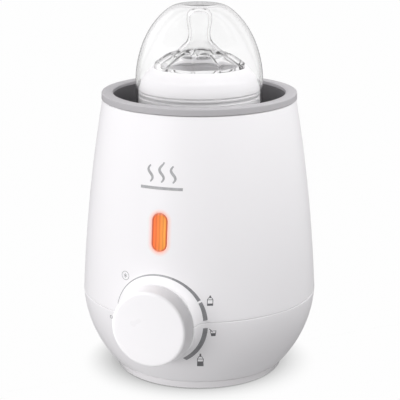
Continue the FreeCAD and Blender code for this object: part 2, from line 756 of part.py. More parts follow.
def bottle_body():
    outside = outline(
        (0, BOTTLE_BASE_Z), (28.5, BOTTLE_BASE_Z), ((31.3, 32.8), (32.5, 35.6)),
        ((31.6, 88), (33.2, 128)), ((32.4, 136.5), (28.6, 141.6)), (NECK_RADIUS, 143.4),
        (NECK_RADIUS, NECK_TOP_Z), (0, NECK_TOP_Z),
    )
    inside = outline(
        (0, BOTTLE_BASE_Z + 2), (27.5, BOTTLE_BASE_Z + 2), ((29.8, 34.6), (30.7, 37)),
        ((29.8, 88), (31.4, 128)), ((30.7, 135.6), (27.0, 140.4)), (NECK_RADIUS - BOTTLE_WALL, 142.6),
        (NECK_RADIUS - BOTTLE_WALL, NECK_TOP_Z + 1), (0, NECK_TOP_Z + 1),
    )
    body = turned_wire(outside).cut(turned_wire(inside))
    body = body.fuse(ring(26.5, 28.3, 144.6, 146.0))
    return body.fuse(thread(NECK_RADIUS, 0.9, 151.0, 1.75))


def teat_outline(shrink, base_z):
    """The nipple, its neck and its flared base, thinned by a shrink."""
    tip = (3.0 - 0.5 * shrink, 200.8 - shrink)
    bulb = (6.8 - shrink, 194.4)
    flare = Part.BSplineCurve()
    flare.interpolate([
        at(bulb), at((6.0 - shrink, 186.6)), at((9.0 - shrink, 180.0 - 0.2 * shrink)),
        at((16.4 - 0.7 * shrink, 174.4 - 0.8 * shrink)), at((24.1 - 0.6 * shrink, 169.4 - shrink)),
    ])
    crown = Part.Arc(at(tip), at((5.8 - 0.8 * shrink, 198.9 - 0.6 * shrink)), at(bulb))
    edges = [
        Part.makeLine(at((0, tip[1])), at(tip)), crown.toShape(), flare.toShape(),
        Part.makeLine(flare.EndPoint, at((24.1 - 0.6 * shrink, base_z))),
        Part.makeLine(at((24.1 - 0.6 * shrink, base_z)), at((0, base_z))),
        Part.makeLine(at((0, base_z)), at((0, tip[1]))),
    ]
    return Part.Wire(edges)


def teat():
    body = turned_wire(teat_outline(0, 163.4)).cut(turned_wire(teat_outline(1.5, 162)))
    body = body.fuse(ring(23.4, 26.8, 163.4, 164.9))
    return body.cut(rod(0.6, 198, 202))


def screw_ring():
    """White collar: a domed shoulder, two shallow grooves, a foot flange and a threaded sleeve."""
    body = turned(
        (24.5, 168.2), (24.9, 168.8), ((30.4, 163.7), (33.0, 156.9)),
        (32.5, 156.5), (32.5, 155.9), (33.0, 155.5), (33.0, 154.7), (32.5, 154.3), (32.5, 153.3),
        (33.0, 152.9), (33.0, 146.6), (34.4, 146.6), (34.4, 144.9), (31.4, 144.9), (31.4, 157.0),
        (30.2, 160.2), (30.2, 148.5), (RING_SLEEVE_RADIUS, 148.5), (RING_SLEEVE_RADIUS, 163.4),
        (27.2, 165.2), (24.5, 165.2),
    )
    return body.fuse(thread(RING_SLEEVE_RADIUS, -0.9, 151.0 + THREAD_LEAD / 2, 1.75))


def dome_outline(shrink, edge_z):
    """An upright skirt, an elliptical shoulder and a flat crown, thinned by a shrink."""
    radius, rise = DOME_RADIUS - shrink, DOME_RISE - shrink
    top = DOME_TOP_Z - shrink
    reach = math.asin((top - DOME_SPRING_Z) / rise)
    crown = radius * math.cos(reach)
    shoulder = Part.Ellipse(Vector(0, 0, DOME_SPRING_Z + rise), Vector(radius, 0, DOME_SPRING_Z),
                            Vector(0, 0, DOME_SPRING_Z))
    edges = [
        Part.makeLine(at((0, edge_z)), at((radius, edge_z))),
        Part.makeLine(at((radius, edge_z)), at((radius, DOME_SPRING_Z))),
        shoulder_arc(shoulder, radius, rise, reach),
        Part.makeLine(at((crown, top)), at((0, top))),
        Part.makeLine(at((0, top)), at((0, edge_z))),
    ]
    return Part.Wire(edges)


def shoulder_arc(ellipse, radius, rise, reach):
    """The stretch of the ellipse from the skirt up to the crown."""
    first = ellipse.parameter(Vector(radius, 0, DOME_SPRING_Z))
    last = ellipse.parameter(Vector(radius * math.cos(reach), 0, DOME_SPRING_Z + rise * math.sin(reach)))
    low, high = sorted((first, last))
    if high - low > math.pi:
        low, high = high, low + 2 * math.pi
    return Part.ArcOfEllipse(ellipse, low, high).toShape()


def dome_cap():
    return turned_wire(dome_outline(0, DOME_EDGE_Z)).cut(turned_wire(dome_outline(DOME_WALL, DOME_EDGE_Z - 1)))


PARTS = (
    upper_casing, lower_casing, base_cover, foot_ring, casing_screws,
    rim_ring, cup_gasket, water_cup, plate_seal, heating_plate, heating_element, heater_clamp,
    heater_screws, thermal_fuse, fuse_clip, sensor_probe, capillary_tube,
    thermostat_body, thermostat_cover, thermostat_terminals, thermostat_bracket, thermostat_nut,
    thermostat_screws, thermostat_shaft, adjuster_nut, control_knob, knob_pointer, knob_clip,
    indicator_lens, lamp_shroud, lamp_board, indicator_leds, lamp_resistor, lamp_screws,
    cord_gland, cord_clamp, cord_clamp_screws, terminal_block, terminal_screws,
    live_lead, switched_lead, neutral_lead, lamp_lead,
    bottle_body, teat, screw_ring, dome_cap,
)


def main():
    os.makedirs("parts", exist_ok=True)
    for make in PARTS:
        save(make.__name__, make())


main()
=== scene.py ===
"""Looks of the bottle warmer: smooth shells, printed dial, lit window and a clear-capped bottle.

Shapes are worked out in millimetres in the frame's own axes (+Z up, knob towards -Y)
and written to meshes in metres.
"""

import math

import bmesh
import bpy
import numpy as np
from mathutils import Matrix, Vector
from mathutils.geometry import delaunay_2d_cdt


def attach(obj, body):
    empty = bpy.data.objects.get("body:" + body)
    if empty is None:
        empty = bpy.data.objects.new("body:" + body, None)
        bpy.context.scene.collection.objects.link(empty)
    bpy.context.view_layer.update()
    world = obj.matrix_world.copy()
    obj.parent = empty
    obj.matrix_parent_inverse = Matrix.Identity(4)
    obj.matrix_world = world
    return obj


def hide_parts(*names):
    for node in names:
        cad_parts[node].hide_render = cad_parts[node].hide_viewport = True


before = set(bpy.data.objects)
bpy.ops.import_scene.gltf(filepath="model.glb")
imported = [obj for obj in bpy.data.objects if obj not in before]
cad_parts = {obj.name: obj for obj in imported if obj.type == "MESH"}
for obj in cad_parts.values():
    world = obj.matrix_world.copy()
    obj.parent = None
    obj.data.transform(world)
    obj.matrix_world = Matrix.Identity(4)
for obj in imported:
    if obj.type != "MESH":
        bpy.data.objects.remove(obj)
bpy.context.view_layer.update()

MM = 0.001

# Casing, as radius and height
FOOT = (48.0, 5.5)
BOWL = (60.5, 26.0)
SEAM = (64.5, 45.0)
WALL = (60.0, 100.0)
TOP = (52.5, 151.5)
SEAM_Z = 45.0
SEAM_HALF_GAP = 0.07
EDGE_ROUND = 0.38
END_ROUND = 0.4
SHELL = 1.8

# Knob pedestal: its axis height, face depth and the width of its flare
KNOB_Z = 44.5
BOSS_RADIUS = 21.7
BOSS_DEPTH = 68.5
BOSS_ROUND = 0.8
FLARE = 4.6
SHAFT_HOLE = 5.2
POINTER_TURN = 188.0

# Cord gland, and the circles of the screw posts and the cup's bosses
GLAND_Z = 18.0
POST_CIRCLE = 42.0
CUP_BOSS_CIRCLE = 38.8

# Window
WINDOW_Z = 91.7
WINDOW_WIDTH = 8.1
WINDOW_HEIGHT = 20.0
WINDOW_STRAIGHT = (WINDOW_HEIGHT - WINDOW_WIDTH) / 2

# Columns of the casing's mesh, and how many on each side of the front are refitted
COLUMNS = 288
FRONT_COLUMNS = 36

# Rows over the seam's rounded edge, and the pitch of the plain rows
SEAM_ROWS = 7
ROW_PITCH = 1.6


# Outlines ------------------------------------------------------------------

def circle_through(a, b, c):
    """Centre and radius of the circle through three points."""
    (ax, ay), (bx, by), (cx, cy) = a, b, c
    d = 2 * (ax * (by - cy) + bx * (cy - ay) + cx * (ay - by))
    ux = ((ax**2 + ay**2) * (by - cy) + (bx**2 + by**2) * (cy - ay) + (cx**2 + cy**2) * (ay - by)) / d
    uy = ((ax**2 + ay**2) * (cx - bx) + (bx**2 + by**2) * (ax - cx) + (cx**2 + cy**2) * (bx - ax)) / d
    return ux, uy, math.hypot(ax - ux, ay - uy)


BOWL_CIRCLE = circle_through(FOOT, BOWL, SEAM)
WALL_CIRCLE = circle_through(SEAM, WALL, TOP)


def casing_radius(z):
    """Outer radius of the casing at a height."""
    z = np.asarray(z, float)
    low = BOWL_CIRCLE[0] + np.sqrt(np.maximum(BOWL_CIRCLE[2] ** 2 - (z - BOWL_CIRCLE[1]) ** 2, 0))
    high = WALL_CIRCLE[0] + np.sqrt(np.maximum(WALL_CIRCLE[2] ** 2 - (z - WALL_CIRCLE[1]) ** 2, 0))
    return np.where(z < SEAM_Z, low, high)


def casing_depth(x, z):
    """How far in front of the centre line the plain casing is at (x, z)."""
    return np.sqrt(np.maximum(casing_radius(z) ** 2 - np.asarray(x, float) ** 2, 0))


def front_depth(x, z):
    """The same with the knob's pedestal flaring out of the casing."""
    x, z = np.asarray(x, float), np.asarray(z, float)
    rho = np.hypot(x, z - KNOB_Z)
    safe = np.maximum(rho, 1e-6)
    foot_x = x * BOSS_RADIUS / safe
    foot_z = KNOB_Z + (z - KNOB_Z) * BOSS_RADIUS / safe
    rise = BOSS_DEPTH - BOSS_ROUND - casing_depth(foot_x, foot_z)
    across = np.clip((rho - BOSS_RADIUS) / FLARE, 0, 1)
    flare = casing_depth(x, z) + rise * (1 - np.sqrt(1 - (1 - across) ** 2))
    corner = np.clip(rho - (BOSS_RADIUS - BOSS_ROUND), 0, BOSS_ROUND)
    face = BOSS_DEPTH - BOSS_ROUND + np.sqrt(BOSS_ROUND**2 - corner**2)
    return np.where(rho <= BOSS_RADIUS, face, flare)


def front_normal(x, z, step):
    """Outward direction of the front surface at (x, z), not yet of unit length."""
    slope_x = (front_depth(x + step, z) - front_depth(x - step, z)) / (2 * step)
    slope_z = (front_depth(x, z + step) - front_depth(x, z - step)) / (2 * step)
    return np.stack([-slope_x, -np.ones_like(slope_x), -slope_z], -1)


def front_point(x, z, lift):
    """Points on the front of the warmer, lifted off the surface by a little."""
    normal = front_normal(x, z, 0.02)
    normal /= np.linalg.norm(normal, axis=-1, keepdims=True)
    return np.stack([x, -front_depth(x, z), z], -1) + normal * lift[:, None]


# Mesh helpers --------------------------------------------------------------

def welded(mesh):
    """A bmesh of a mesh, its doubled points joined and its collapsed faces gone."""
    bm = bmesh.new()
    bm.from_mesh(mesh)
    bmesh.ops.remove_doubles(bm, verts=bm.verts, dist=0.0015 * MM)
    bmesh.ops.dissolve_degenerate(bm, dist=1e-7, edges=bm.edges)
    return bm


def make_object(name, points, faces, material, sharp_deg=32.0):
    """A mesh object from points in millimetres, smooth except over sharp edges."""
    mesh = bpy.data.meshes.new(name)
    mesh.from_pydata([tuple(p) for p in np.asarray(points, float) * MM], [], faces)
    bm = welded(mesh)
    bmesh.ops.delete(bm, geom=[v for v in bm.verts if not v.link_faces], context="VERTS")
    bmesh.ops.recalc_face_normals(bm, faces=bm.faces)
    finish_mesh(bm, mesh, sharp_deg)
    piece = bpy.data.objects.new(name, mesh)
    bpy.context.collection.objects.link(piece)
    piece.data.materials.append(material)
    return piece


def finish_mesh(bm, mesh, sharp_deg):
    """Write a bmesh out with smooth faces and edges marked sharp by their angle."""
    for face in bm.faces:
        face.smooth = True
    for edge in bm.edges:
        if len(edge.link_faces) == 2:
            edge.smooth = edge.calc_face_angle(0.0) < math.radians(sharp_deg)
    bm.to_mesh(mesh)
    bm.free()


def closed_layer(faces, count):
    """Faces of a skin, of its copy beneath (points offset by count) and of the strip round its edges."""
    uses = {}
    for face in faces:
        for a, b in zip(face, face[1:] + face[:1]):
            uses.setdefault((min(a, b), max(a, b)), []).append((a, b))
    solid = list(faces) + [[n + count for n in reversed(face)] for face in faces]
    for found in uses.values():
        if len(found) == 1:
            a, b = found[0]
            solid.append([b, a, a + count, b + count])
    return solid


def arc_points(centre, radius, start_deg, end_deg, count):
    turns = np.radians(np.linspace(start_deg, end_deg, count))
    return [(centre[0] + radius * math.cos(t), centre[1] + radius * math.sin(t)) for t in turns]


def rounded(corners, steps=7):
    """A closed outline from (x, y, corner radius) triples, each corner rounded by an arc."""
    outline = []
    count = len(corners)
    for i, (x, y, radius) in enumerate(corners):
        here = np.array([x, y], float)
        if radius <= 0:
            outline.append((x, y))
            continue
        back = np.array(corners[i - 1][:2], float) - here
        ahead = np.array(corners[(i + 1) % count][:2], float) - here
        back /= np.linalg.norm(back)
        ahead /= np.linalg.norm(ahead)
        half = math.acos(float(np.clip(back @ ahead, -1, 1))) / 2
        if half > math.radians(88.5):
            outline.append((x, y))
            continue
        middle = (back + ahead) / np.linalg.norm(back + ahead)
        centre = here + middle * radius / math.sin(half)
        first = here + back * radius / math.tan(half)
        last = here + ahead * radius / math.tan(half)
        a0 = math.atan2(*(first - centre)[::-1])
        sweep = (math.atan2(*(last - centre)[::-1]) - a0 + math.pi) % (2 * math.pi) - math.pi
        for k in range(steps + 1):
            turn = a0 + sweep * k / steps
            outline.append((centre[0] + radius * math.cos(turn), centre[1] + radius * math.sin(turn)))
    return outline


def smooth_curve(points, per_span=10):
    """Points along a Catmull-Rom curve through the given ones."""
    pts = [np.array(p, float) for p in points]
    pts = [2 * pts[0] - pts[1]] + pts + [2 * pts[-1] - pts[-2]]
    curve = []
    for a, b, c, d in zip(pts, pts[1:], pts[2:], pts[3:]):
        for k in range(per_span):
            t = k / per_span
            curve.append(0.5 * (2 * b + (c - a) * t + (2 * a - 5 * b + 4 * c - d) * t**2
                                + (3 * b - a - 3 * c + d) * t**3))
    curve.append(pts[-2])
    return [tuple(p) for p in curve]


def lathe(name, outline, material, segments=192, closed=True, place=None, sharp_deg=32.0):
    """Turn an outline of (radius, height) about Z. place moves each point, as for the knob's axis."""
    rows = [np.array(p, float) for p in outline]
    turns = np.linspace(0, 2 * math.pi, segments, endpoint=False)
    points, ids = [], []
    for radius, height in rows:
        if radius < 1e-6:
            ids.append([len(points)] * segments)
            points.append((0, 0, height))
            continue
        ids.append(list(range(len(points), len(points) + segments)))
        points += [(radius * math.cos(t), radius * math.sin(t), height) for t in turns]
    faces = []
    pairs = list(zip(ids, ids[1:]))
    if closed:
        pairs.append((ids[-1], ids[0]))
    for low, high in pairs:
        for k in range(segments):
            n = (k + 1) % segments
            face = list(dict.fromkeys([low[k], low[n], high[n], high[k]]))
            if len(face) > 2:
                faces.append(face)
    points = np.array(points)
    if place:
        points = place(points)
    return make_object(name, points, faces, material, sharp_deg)


def to_front(points, height=KNOB_Z):
    """Lay upright points over: their Z becomes depth in front, their Y becomes up."""
    return np.stack([points[:, 0], -points[:, 2], points[:, 1] + height], -1)


def to_back(points, height):
    return np.stack([points[:, 0], points[:, 2], -points[:, 1] + height], -1)


def boolean(piece, tool, operation):
    """Apply one boolean with a throwaway tool object."""
    step = piece.modifiers.new("boolean", "BOOLEAN")
    step.operation = operation
    step.solver = "EXACT"
    step.object = tool
    bpy.context.view_layer.update()
    depsgraph = bpy.context.evaluated_depsgraph_get()
    result = bpy.data.meshes.new_from_object(piece.evaluated_get(depsgraph))
    piece.modifiers.clear()
    piece.data = result
    bpy.data.objects.remove(tool)
    finish_mesh(welded(result), result, 32.0)
    result.validate()


# Materials -----------------------------------------------------------------

class Nodes:
    """A small wrapper for building the node tree of a new material, or of the world."""

    def __init__(self, name, owners=bpy.data.materials, shader="Principled BSDF"):
        self.owner = owners.new(name)
        self.owner.use_nodes = True
        self.tree = self.owner.node_tree
        self.shader = self.tree.nodes[shader]

    def add(self, kind, **settings):
        node = self.tree.nodes.new(kind)
        for key, value in settings.items():
            if hasattr(node, key):
                setattr(node, key, value)
            else:
                node.inputs[key.replace("_", " ")].default_value = value
        return node

    def link(self, source, target):
        self.tree.links.new(source, target)

    def give(self, socket, value):
        """Set a socket to a constant, or link another socket to it."""
        if isinstance(value, (int, float, tuple)):
            socket.default_value = value
        else:
            self.link(value, socket)

    def set(self, **values):
        for key, value in values.items():
            self.shader.inputs[key.replace("_", " ")].default_value = value

    def place(self):
        """Object coordinates, in metres."""
        return self.add("ShaderNodeTexCoord").outputs["Object"]

    def noise(self, scale, detail=3.0):
        node = self.add("ShaderNodeTexNoise", Scale=scale, Detail=detail)
        self.link(self.place(), node.inputs["Vector"])
        return node.outputs["Fac"]

    def ramp(self, value, low, high, start=0.35, end=0.65, shape="LINEAR"):
        """From low to high as a value goes from start to end."""
        node = self.add("ShaderNodeMapRange", interpolation_type=shape, From_Min=start, From_Max=end,
                        To_Min=low, To_Max=high)
        self.link(value, node.inputs["Value"])
        return node.outputs["Result"]

    def mix(self, factor, low, high):
        """A colour between two colours or sockets, by a factor."""
        node = self.add("ShaderNodeMix", data_type="RGBA")
        self.link(factor, node.inputs[0])
        for socket, colour in zip((node.inputs[6], node.inputs[7]), (low, high)):
            self.give(socket, (*colour, 1) if isinstance(colour, tuple) else colour)
        return node.outputs[2]

    def math(self, operation, *values):
        """One step of arithmetic on sockets or plain numbers."""
        node = self.add("ShaderNodeMath", operation=operation)
        for socket, value in zip(node.inputs, values):
            self.give(socket, value)
        return node.outputs[0]

    def bump(self, height, strength, distance):
        node = self.add("ShaderNodeBump", Strength=strength, Distance=distance)
        self.link(height, node.inputs["Height"])
        self.link(node.outputs["Normal"], self.shader.inputs["Normal"])


def faint_drift(n, colour, spread):
    """A colour that drifts a little over the piece."""
    drift = n.ramp(n.noise(11.0, 2.0), 0, 1, 0.2, 0.8)
    return n.mix(drift, tuple(c - spread for c in colour), tuple(c + spread for c in colour))


def moulded_plastic(name, colour, roughness=0.3, grain=0.015, coat=0.0, spread=0.006, glow_depth=0.0):
    """Moulded plastic: faint colour drift, roughness that wanders a little, fine surface grain."""
    n = Nodes(name)
    n.link(faint_drift(n, colour, spread), n.shader.inputs["Base Color"])
    n.link(n.ramp(n.noise(60.0, 3.0), roughness - 0.01, roughness + 0.015, 0.2, 0.8),
           n.shader.inputs["Roughness"])
    n.bump(n.noise(2600.0, 2.0), grain, 0.00004)
    n.set(IOR=1.49, Coat_Weight=coat, Coat_Roughness=0.12)
    if glow_depth:
        n.set(Subsurface_Weight=0.5, Subsurface_Radius=(1.0, 1.0, 1.0), Subsurface_Scale=glow_depth)
    return n.owner


def metal(name, colour, roughness=0.3):
    """Bare metal with a fine mottling from rolling and handling."""
    n = Nodes(name)
    mottle = n.noise(900.0, 4.0)
    darker = tuple(c * 0.86 for c in colour)
    n.link(n.mix(n.ramp(mottle, 0, 1), darker, colour), n.shader.inputs["Base Color"])
    n.link(n.ramp(mottle, roughness - 0.06, roughness + 0.1), n.shader.inputs["Roughness"])
    n.bump(mottle, 0.08, 0.00003)
    n.set(Metallic=1.0)
    return n.owner


def rubber(name, colour, roughness=0.62):
    n = Nodes(name)
    dark = tuple(c * 0.82 for c in colour)
    n.link(n.mix(n.ramp(n.noise(90.0, 4.0), 0, 1), dark, colour), n.shader.inputs["Base Color"])
    n.link(n.ramp(n.noise(140.0, 3.0), roughness - 0.08, roughness + 0.08), n.shader.inputs["Roughness"])
    n.bump(n.noise(3200.0, 3.0), 0.12, 0.00006)
    n.set(Specular_IOR_Level=0.35)
    return n.owner


def clear_plastic(name, roughness, ior, edge, start, wander=0.02):
    """Clear moulded plastic with slight flow marks, its glancing edges darkened to the given tone by painted
    shade that draws dark outlines.
    """
    n = Nodes(name)
    glance = n.add("ShaderNodeLayerWeight", Blend=0.5)
    # painted shade: the colour darkens from start towards glancing edges, drawing dark outlines
    painted_shade = n.ramp(glance.outputs["Facing"], 0, 1, start, 0.97)
    n.link(n.mix(painted_shade, (1.0, 1.0, 1.0), (edge, edge, edge)), n.shader.inputs["Base Color"])
    n.link(n.ramp(n.noise(40.0, 2.0), roughness, roughness + wander), n.shader.inputs["Roughness"])
    n.bump(n.noise(70.0, 1.0), 0.02, 0.0003)
    n.set(Transmission_Weight=1.0, IOR=ior)
    return n.owner


def from_window(n):
    """Distance in the front view from the middle line of the oblong window, in metres."""
    split = n.add("ShaderNodeSeparateXYZ")
    n.link(n.place(), split.inputs[0])
    height = n.math("ABSOLUTE", n.math("SUBTRACT", split.outputs["Z"], WINDOW_Z * MM))
    beyond = n.math("MAXIMUM", n.math("SUBTRACT", height, WINDOW_STRAIGHT * MM), 0.0)
    side = n.math("MULTIPLY", split.outputs["X"], split.outputs["X"])
    return n.math("SQRT", n.math("ADD", side, n.math("MULTIPLY", beyond, beyond))), height, split


def halo_plastic(name, colour, roughness):
    """The casing's plastic, lit amber from within right round the window."""
    n = Nodes(name)
    off, _, split = from_window(n)
    near = n.ramp(off, 1, 0, 0.0039, 0.0068)
    near = n.math("POWER", near, 1.5)
    near = n.math("MULTIPLY", near, n.math("LESS_THAN", split.outputs["Y"], 0.0))
    tint = n.mix(near, faint_drift(n, colour, 0.006), (0.88, 0.42, 0.33))
    n.link(tint, n.shader.inputs["Base Color"])
    n.link(n.math("MULTIPLY", near, 0.12), n.shader.inputs["Emission Strength"])
    n.link(n.ramp(n.noise(160.0, 4.0), roughness - 0.02, roughness + 0.03, 0.2, 0.8),
           n.shader.inputs["Roughness"])
    n.bump(n.noise(2600.0, 2.0), 0.015, 0.00004)
    n.set(IOR=1.49, Emission_Color=(1.0, 0.42, 0.2, 1))
    return n.owner


def lens_material():
    """Amber lens lit from behind: redder at its left and rim, yellower at its right, faintly ribbed."""
    n = Nodes("lens_amber")
    off, height, split = from_window(n)
    across = n.ramp(split.outputs["X"], 0, 1, -0.0022, 0.0034)
    body = n.mix(across, (0.98, 0.21, 0.06), (0.95, 0.43, 0.08))
    edge = n.ramp(off, 0, 1, 0.0030, 0.0039)
    rim = n.mix(edge, body, (0.62, 0.13, 0.07))
    ends = n.mix(n.ramp(height, 0, 1, 0.0086, 0.0101), rim, (0.90, 0.36, 0.25))
    n.link(ends, n.shader.inputs["Emission Color"])
    ribs = n.add("ShaderNodeTexWave", wave_type="BANDS", bands_direction="X", Scale=165.0, Distortion=0.9,
                 Detail=1.0)
    n.link(n.place(), ribs.inputs["Vector"])
    glow = n.ramp(height, 0.9, 0.8, 0.002, 0.0105)
    strength = n.math("MULTIPLY", glow, n.ramp(ribs.outputs["Fac"], 0.8, 1.08, 0, 1))
    n.link(strength, n.shader.inputs["Emission Strength"])
    n.bump(ribs.outputs["Fac"], 0.15, 0.0001)
    n.set(Base_Color=(0.16, 0.035, 0.012, 1), Roughness=0.25, Specular_IOR_Level=0.25)
    return n.owner


def printed(name, colour):
    """Pad-printed ink: slightly uneven density and a dry sheen."""
    n = Nodes(name)
    light = tuple(min(c * 1.16 + 0.01, 1) for c in colour)
    n.link(n.mix(n.ramp(n.noise(420.0, 3.0), 0, 1), colour, light), n.shader.inputs["Base Color"])
    n.set(Roughness=0.45)
    return n.owner


CASING_WHITE = halo_plastic("casing_white", (0.86, 0.85, 0.865), 0.32)
BOWL_WHITE = moulded_plastic("bowl_white", (0.86, 0.85, 0.865), 0.32)
BASE_WHITE = moulded_plastic("base_white", (0.84, 0.825, 0.84), 0.16, grain=0.006, coat=0.5)
KNOB_WHITE = moulded_plastic("knob_white", (0.95, 0.94, 0.955), 0.28, spread=0.003)
COLLAR_WHITE = moulded_plastic("collar_white", (0.80, 0.79, 0.805), 0.3, glow_depth=0.004)
RIM_GREY = moulded_plastic("rim_grey", (0.44, 0.43, 0.445), 0.42, grain=0.03)
CUP_GREY = moulded_plastic("cup_grey", (0.125, 0.122, 0.128), 0.42, grain=0.03, spread=0.006)
POINTER_GREY = moulded_plastic("pointer_grey", (0.30, 0.30, 0.31), 0.45, grain=0.03)
GLAND_GREY = rubber("gland_grey", (0.62, 0.62, 0.63))
FOOT_BLACK = rubber("foot_black", (0.03, 0.03, 0.032))
PRINT_GREY = printed("print_grey", (0.22, 0.22, 0.23))
PRINT_DARK = printed("print_dark", (0.12, 0.12, 0.125))
PRINT_MID = printed("print_mid", (0.33, 0.33, 0.34))
PRINT_SOFT = printed("print_soft", (0.36, 0.36, 0.37))
# the last two numbers of each: the tone of the painted edge shade and where it starts
CAP_CLEAR = clear_plastic("cap_clear", 0.0, 1.35, 0.3, 0.7)
TEAT_CLEAR = clear_plastic("teat_clear", 0.0, 1.38, 0.03, 0.5, wander=0.0)
BOTTLE_CLEAR = clear_plastic("bottle_clear", 0.02, 1.45, 0.6, 0.7)
LENS = lens_material()


# Casing --------------------------------------------------------------------

def put(piece, body, slot, *replaced):
    """Ride on a body and stand for CAD nodes; slot is not used."""
    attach(piece, body)
    if replaced:
        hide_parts(*replaced)


def shell_rows(upper):
    """Rows of one casing half from its seam edge to its far edge, as (height, how far inward)."""
    sign = 1 if upper else -1
    start = SEAM_Z + sign * SEAM_HALF_GAP
    rows = [(start + sign * EDGE_ROUND * (1 - math.cos(turn)), EDGE_ROUND * (1 - math.sin(turn)))
            for turn in np.radians(np.linspace(0, 90, SEAM_ROWS))]
    edge = rows[-1][0]
    far = (TOP[1] if upper else FOOT[1]) - sign * END_ROUND
    count = int(abs(far - edge) / ROW_PITCH)
    rows += [(edge + (far - edge) * k / count, 0.0) for k in range(1, count + 1)]
    for turn in np.radians(np.linspace(15, 90, 6)):
        rows.append((far + sign * END_ROUND * math.sin(turn), END_ROUND * (1 - math.cos(turn))))
    return rows


def ring_radii():
    """Rings about the knob's axis: face, rounded corner, flare and a margin outside it."""
    rings = [SHAFT_HOLE, 9.0, 13.0, 17.0, 19.6, 20.8, BOSS_RADIUS - BOSS_ROUND]
    rings += [BOSS_RADIUS - BOSS_ROUND + BOSS_ROUND * math.sin(math.radians(a)) for a in range(15, 90, 15)]
    rings += [BOSS_RADIUS + FLARE * (1 - math.cos(math.radians(a))) for a in np.linspace(0, 90, 17)]
    rings += [BOSS_RADIUS + FLARE + margin for margin in (0.5, 1.3)]
    return rings


def window_outline(radius, side_points=0):
    """The oblong window's outline at a half width, as front-view points."""
    def end(centre, start_deg):
        turns = np.radians(np.linspace(start_deg, start_deg + 180, 33))
        return [(radius * math.cos(t), centre + radius * math.sin(t)) for t in turns]

    def side(x, reach):
        return [(x, WINDOW_Z + WINDOW_STRAIGHT * k) for k in np.linspace(reach, -reach, side_points)]

    return (end(WINDOW_Z + WINDOW_STRAIGHT, 0) + side(-radius, 0.8)
            + end(WINDOW_Z - WINDOW_STRAIGHT, 180) + side(radius, -0.8))


def inside_window(x, z, grow):
    half_width = WINDOW_WIDTH / 2 + 0.1 + grow
    along = np.clip(z - WINDOW_Z, -WINDOW_STRAIGHT, WINDOW_STRAIGHT)
    return np.hypot(x, z - WINDOW_Z - along) < half_width - 1e-6


def casing_half(name, upper, material):
    """One moulded half: a regular grid, refitted round the pedestal and the window at the front."""
    rows = shell_rows(upper)
    heights = np.array([z for z, _ in rows])
    inward_at = {round(z, 6): q for z, q in rows}
    radii = casing_radius(heights)
    seam_rows = [z for z, _ in rows[:SEAM_ROWS]]
    low, high = min(heights), max(heights)
    turns = np.arange(COLUMNS) * 2 * math.pi / COLUMNS - math.pi / 2
    plane, inward, lattice = [], [], {}
    points = []

    def add(x, z, y=None, q=0.0):
        plane.append((x, z))
        inward.append(q)
        points.append((x, y, z))
        return len(points) - 1

    ring = ring_radii()
    outer = ring[-1]
    half = FRONT_COLUMNS
    for j, (z, q) in enumerate(rows):
        for i in range(COLUMNS):
            column = i if i <= COLUMNS // 2 else i - COLUMNS
            x, y = radii[j] * math.cos(turns[i]), radii[j] * math.sin(turns[i])
            if abs(column) < half:
                near_knob = math.hypot(x, z - KNOB_Z) < outer + 0.7
                if near_knob or inside_window(x, z, 2.2):
                    continue
            lattice[column, j] = add(x, z, y, q)
    faces = []
    for j in range(len(rows) - 1):
        for i in range(COLUMNS):
            a = i if i <= COLUMNS // 2 else i - COLUMNS
            b = (i + 1) if (i + 1) <= COLUMNS // 2 else i + 1 - COLUMNS
            if -half <= a < half:
                continue
            faces.append([lattice[a, j], lattice[b, j], lattice[b, j + 1], lattice[a, j + 1]])

    # the front stretch: its lattice points plus rings, seam crossings and the lens hole
    local = [n for (column, _), n in lattice.items() if abs(column) <= half]
    crossing = SEAM_HALF_GAP + EDGE_ROUND + 0.25
    for rho in ring:
        count = max(48, int(rho * 8))
        for k in range(count):
            turn = 2 * math.pi * (k + 0.5) / count
            x, z = rho * math.cos(turn), KNOB_Z + rho * math.sin(turn)
            if abs(z - SEAM_Z) > crossing and (z > SEAM_Z) == upper and low < z < high:
                local.append(add(x, z))
        for z in seam_rows:
            reach = math.sqrt(max(rho**2 - (z - KNOB_Z) ** 2, 0))
            for x in (-reach, reach):
                local.append(add(x, z, q=inward_at[round(z, 6)]))
    edges = []
    if upper:
        for grow, q in ((0.0, 0.3), (0.04, 0.15), (0.15, 0.04), (0.3, 0.0), (1.0, 0.0), (1.9, 0.0)):
            loop = [add(x, z, q=q) for x, z in window_outline(WINDOW_WIDTH / 2 + 0.1 + grow, 9)]
            local += loop
            if grow == 0.0:
                edges += list(zip(loop, loop[1:] + loop[:1]))
    for j in range(len(rows) - 1):
        for column in (-half, half):
            edges.append((lattice[column, j], lattice[column, j + 1]))
    faces += front_faces(plane, local, edges, heights[0], upper)
    base = surface_points(points)
    normals = surface_normals(points)
    top_points = base - normals * np.array(inward)[:, None]
    solid = np.vstack([top_points, top_points - normals * SHELL])
    return make_object(name, solid, closed_layer(faces, len(points)), material)


def front_faces(plane, local, edges, seam_edge, upper):
    """Triangles between the front points, leaving out the lens hole and the shaft hole."""
    local = list(dict.fromkeys(local))
    place = {n: i for i, n in enumerate(local)}
    flat = [Vector(plane[n]) for n in local]
    links = [(place[a], place[b]) for a, b in edges]
    _, _, triangles, origin, _, _ = delaunay_2d_cdt(flat, links, [], 0, 1e-5)
    limit = math.sin(2 * math.pi * FRONT_COLUMNS / COLUMNS)
    faces = []
    for triangle in triangles:
        if any(not origin[v] for v in triangle):
            continue
        ids = [local[origin[v][0]] for v in triangle]
        x = sum(plane[n][0] for n in ids) / 3
        z = sum(plane[n][1] for n in ids) / 3
        outside = (z < seam_edge) if upper else (z > seam_edge)
        if outside or abs(x) > casing_radius(z) * limit or math.hypot(x, z - KNOB_Z) < SHAFT_HOLE - 0.02:
            continue
        if upper and inside_window(x, z, 0.0):
            continue
        faces.append(ids)
    return faces


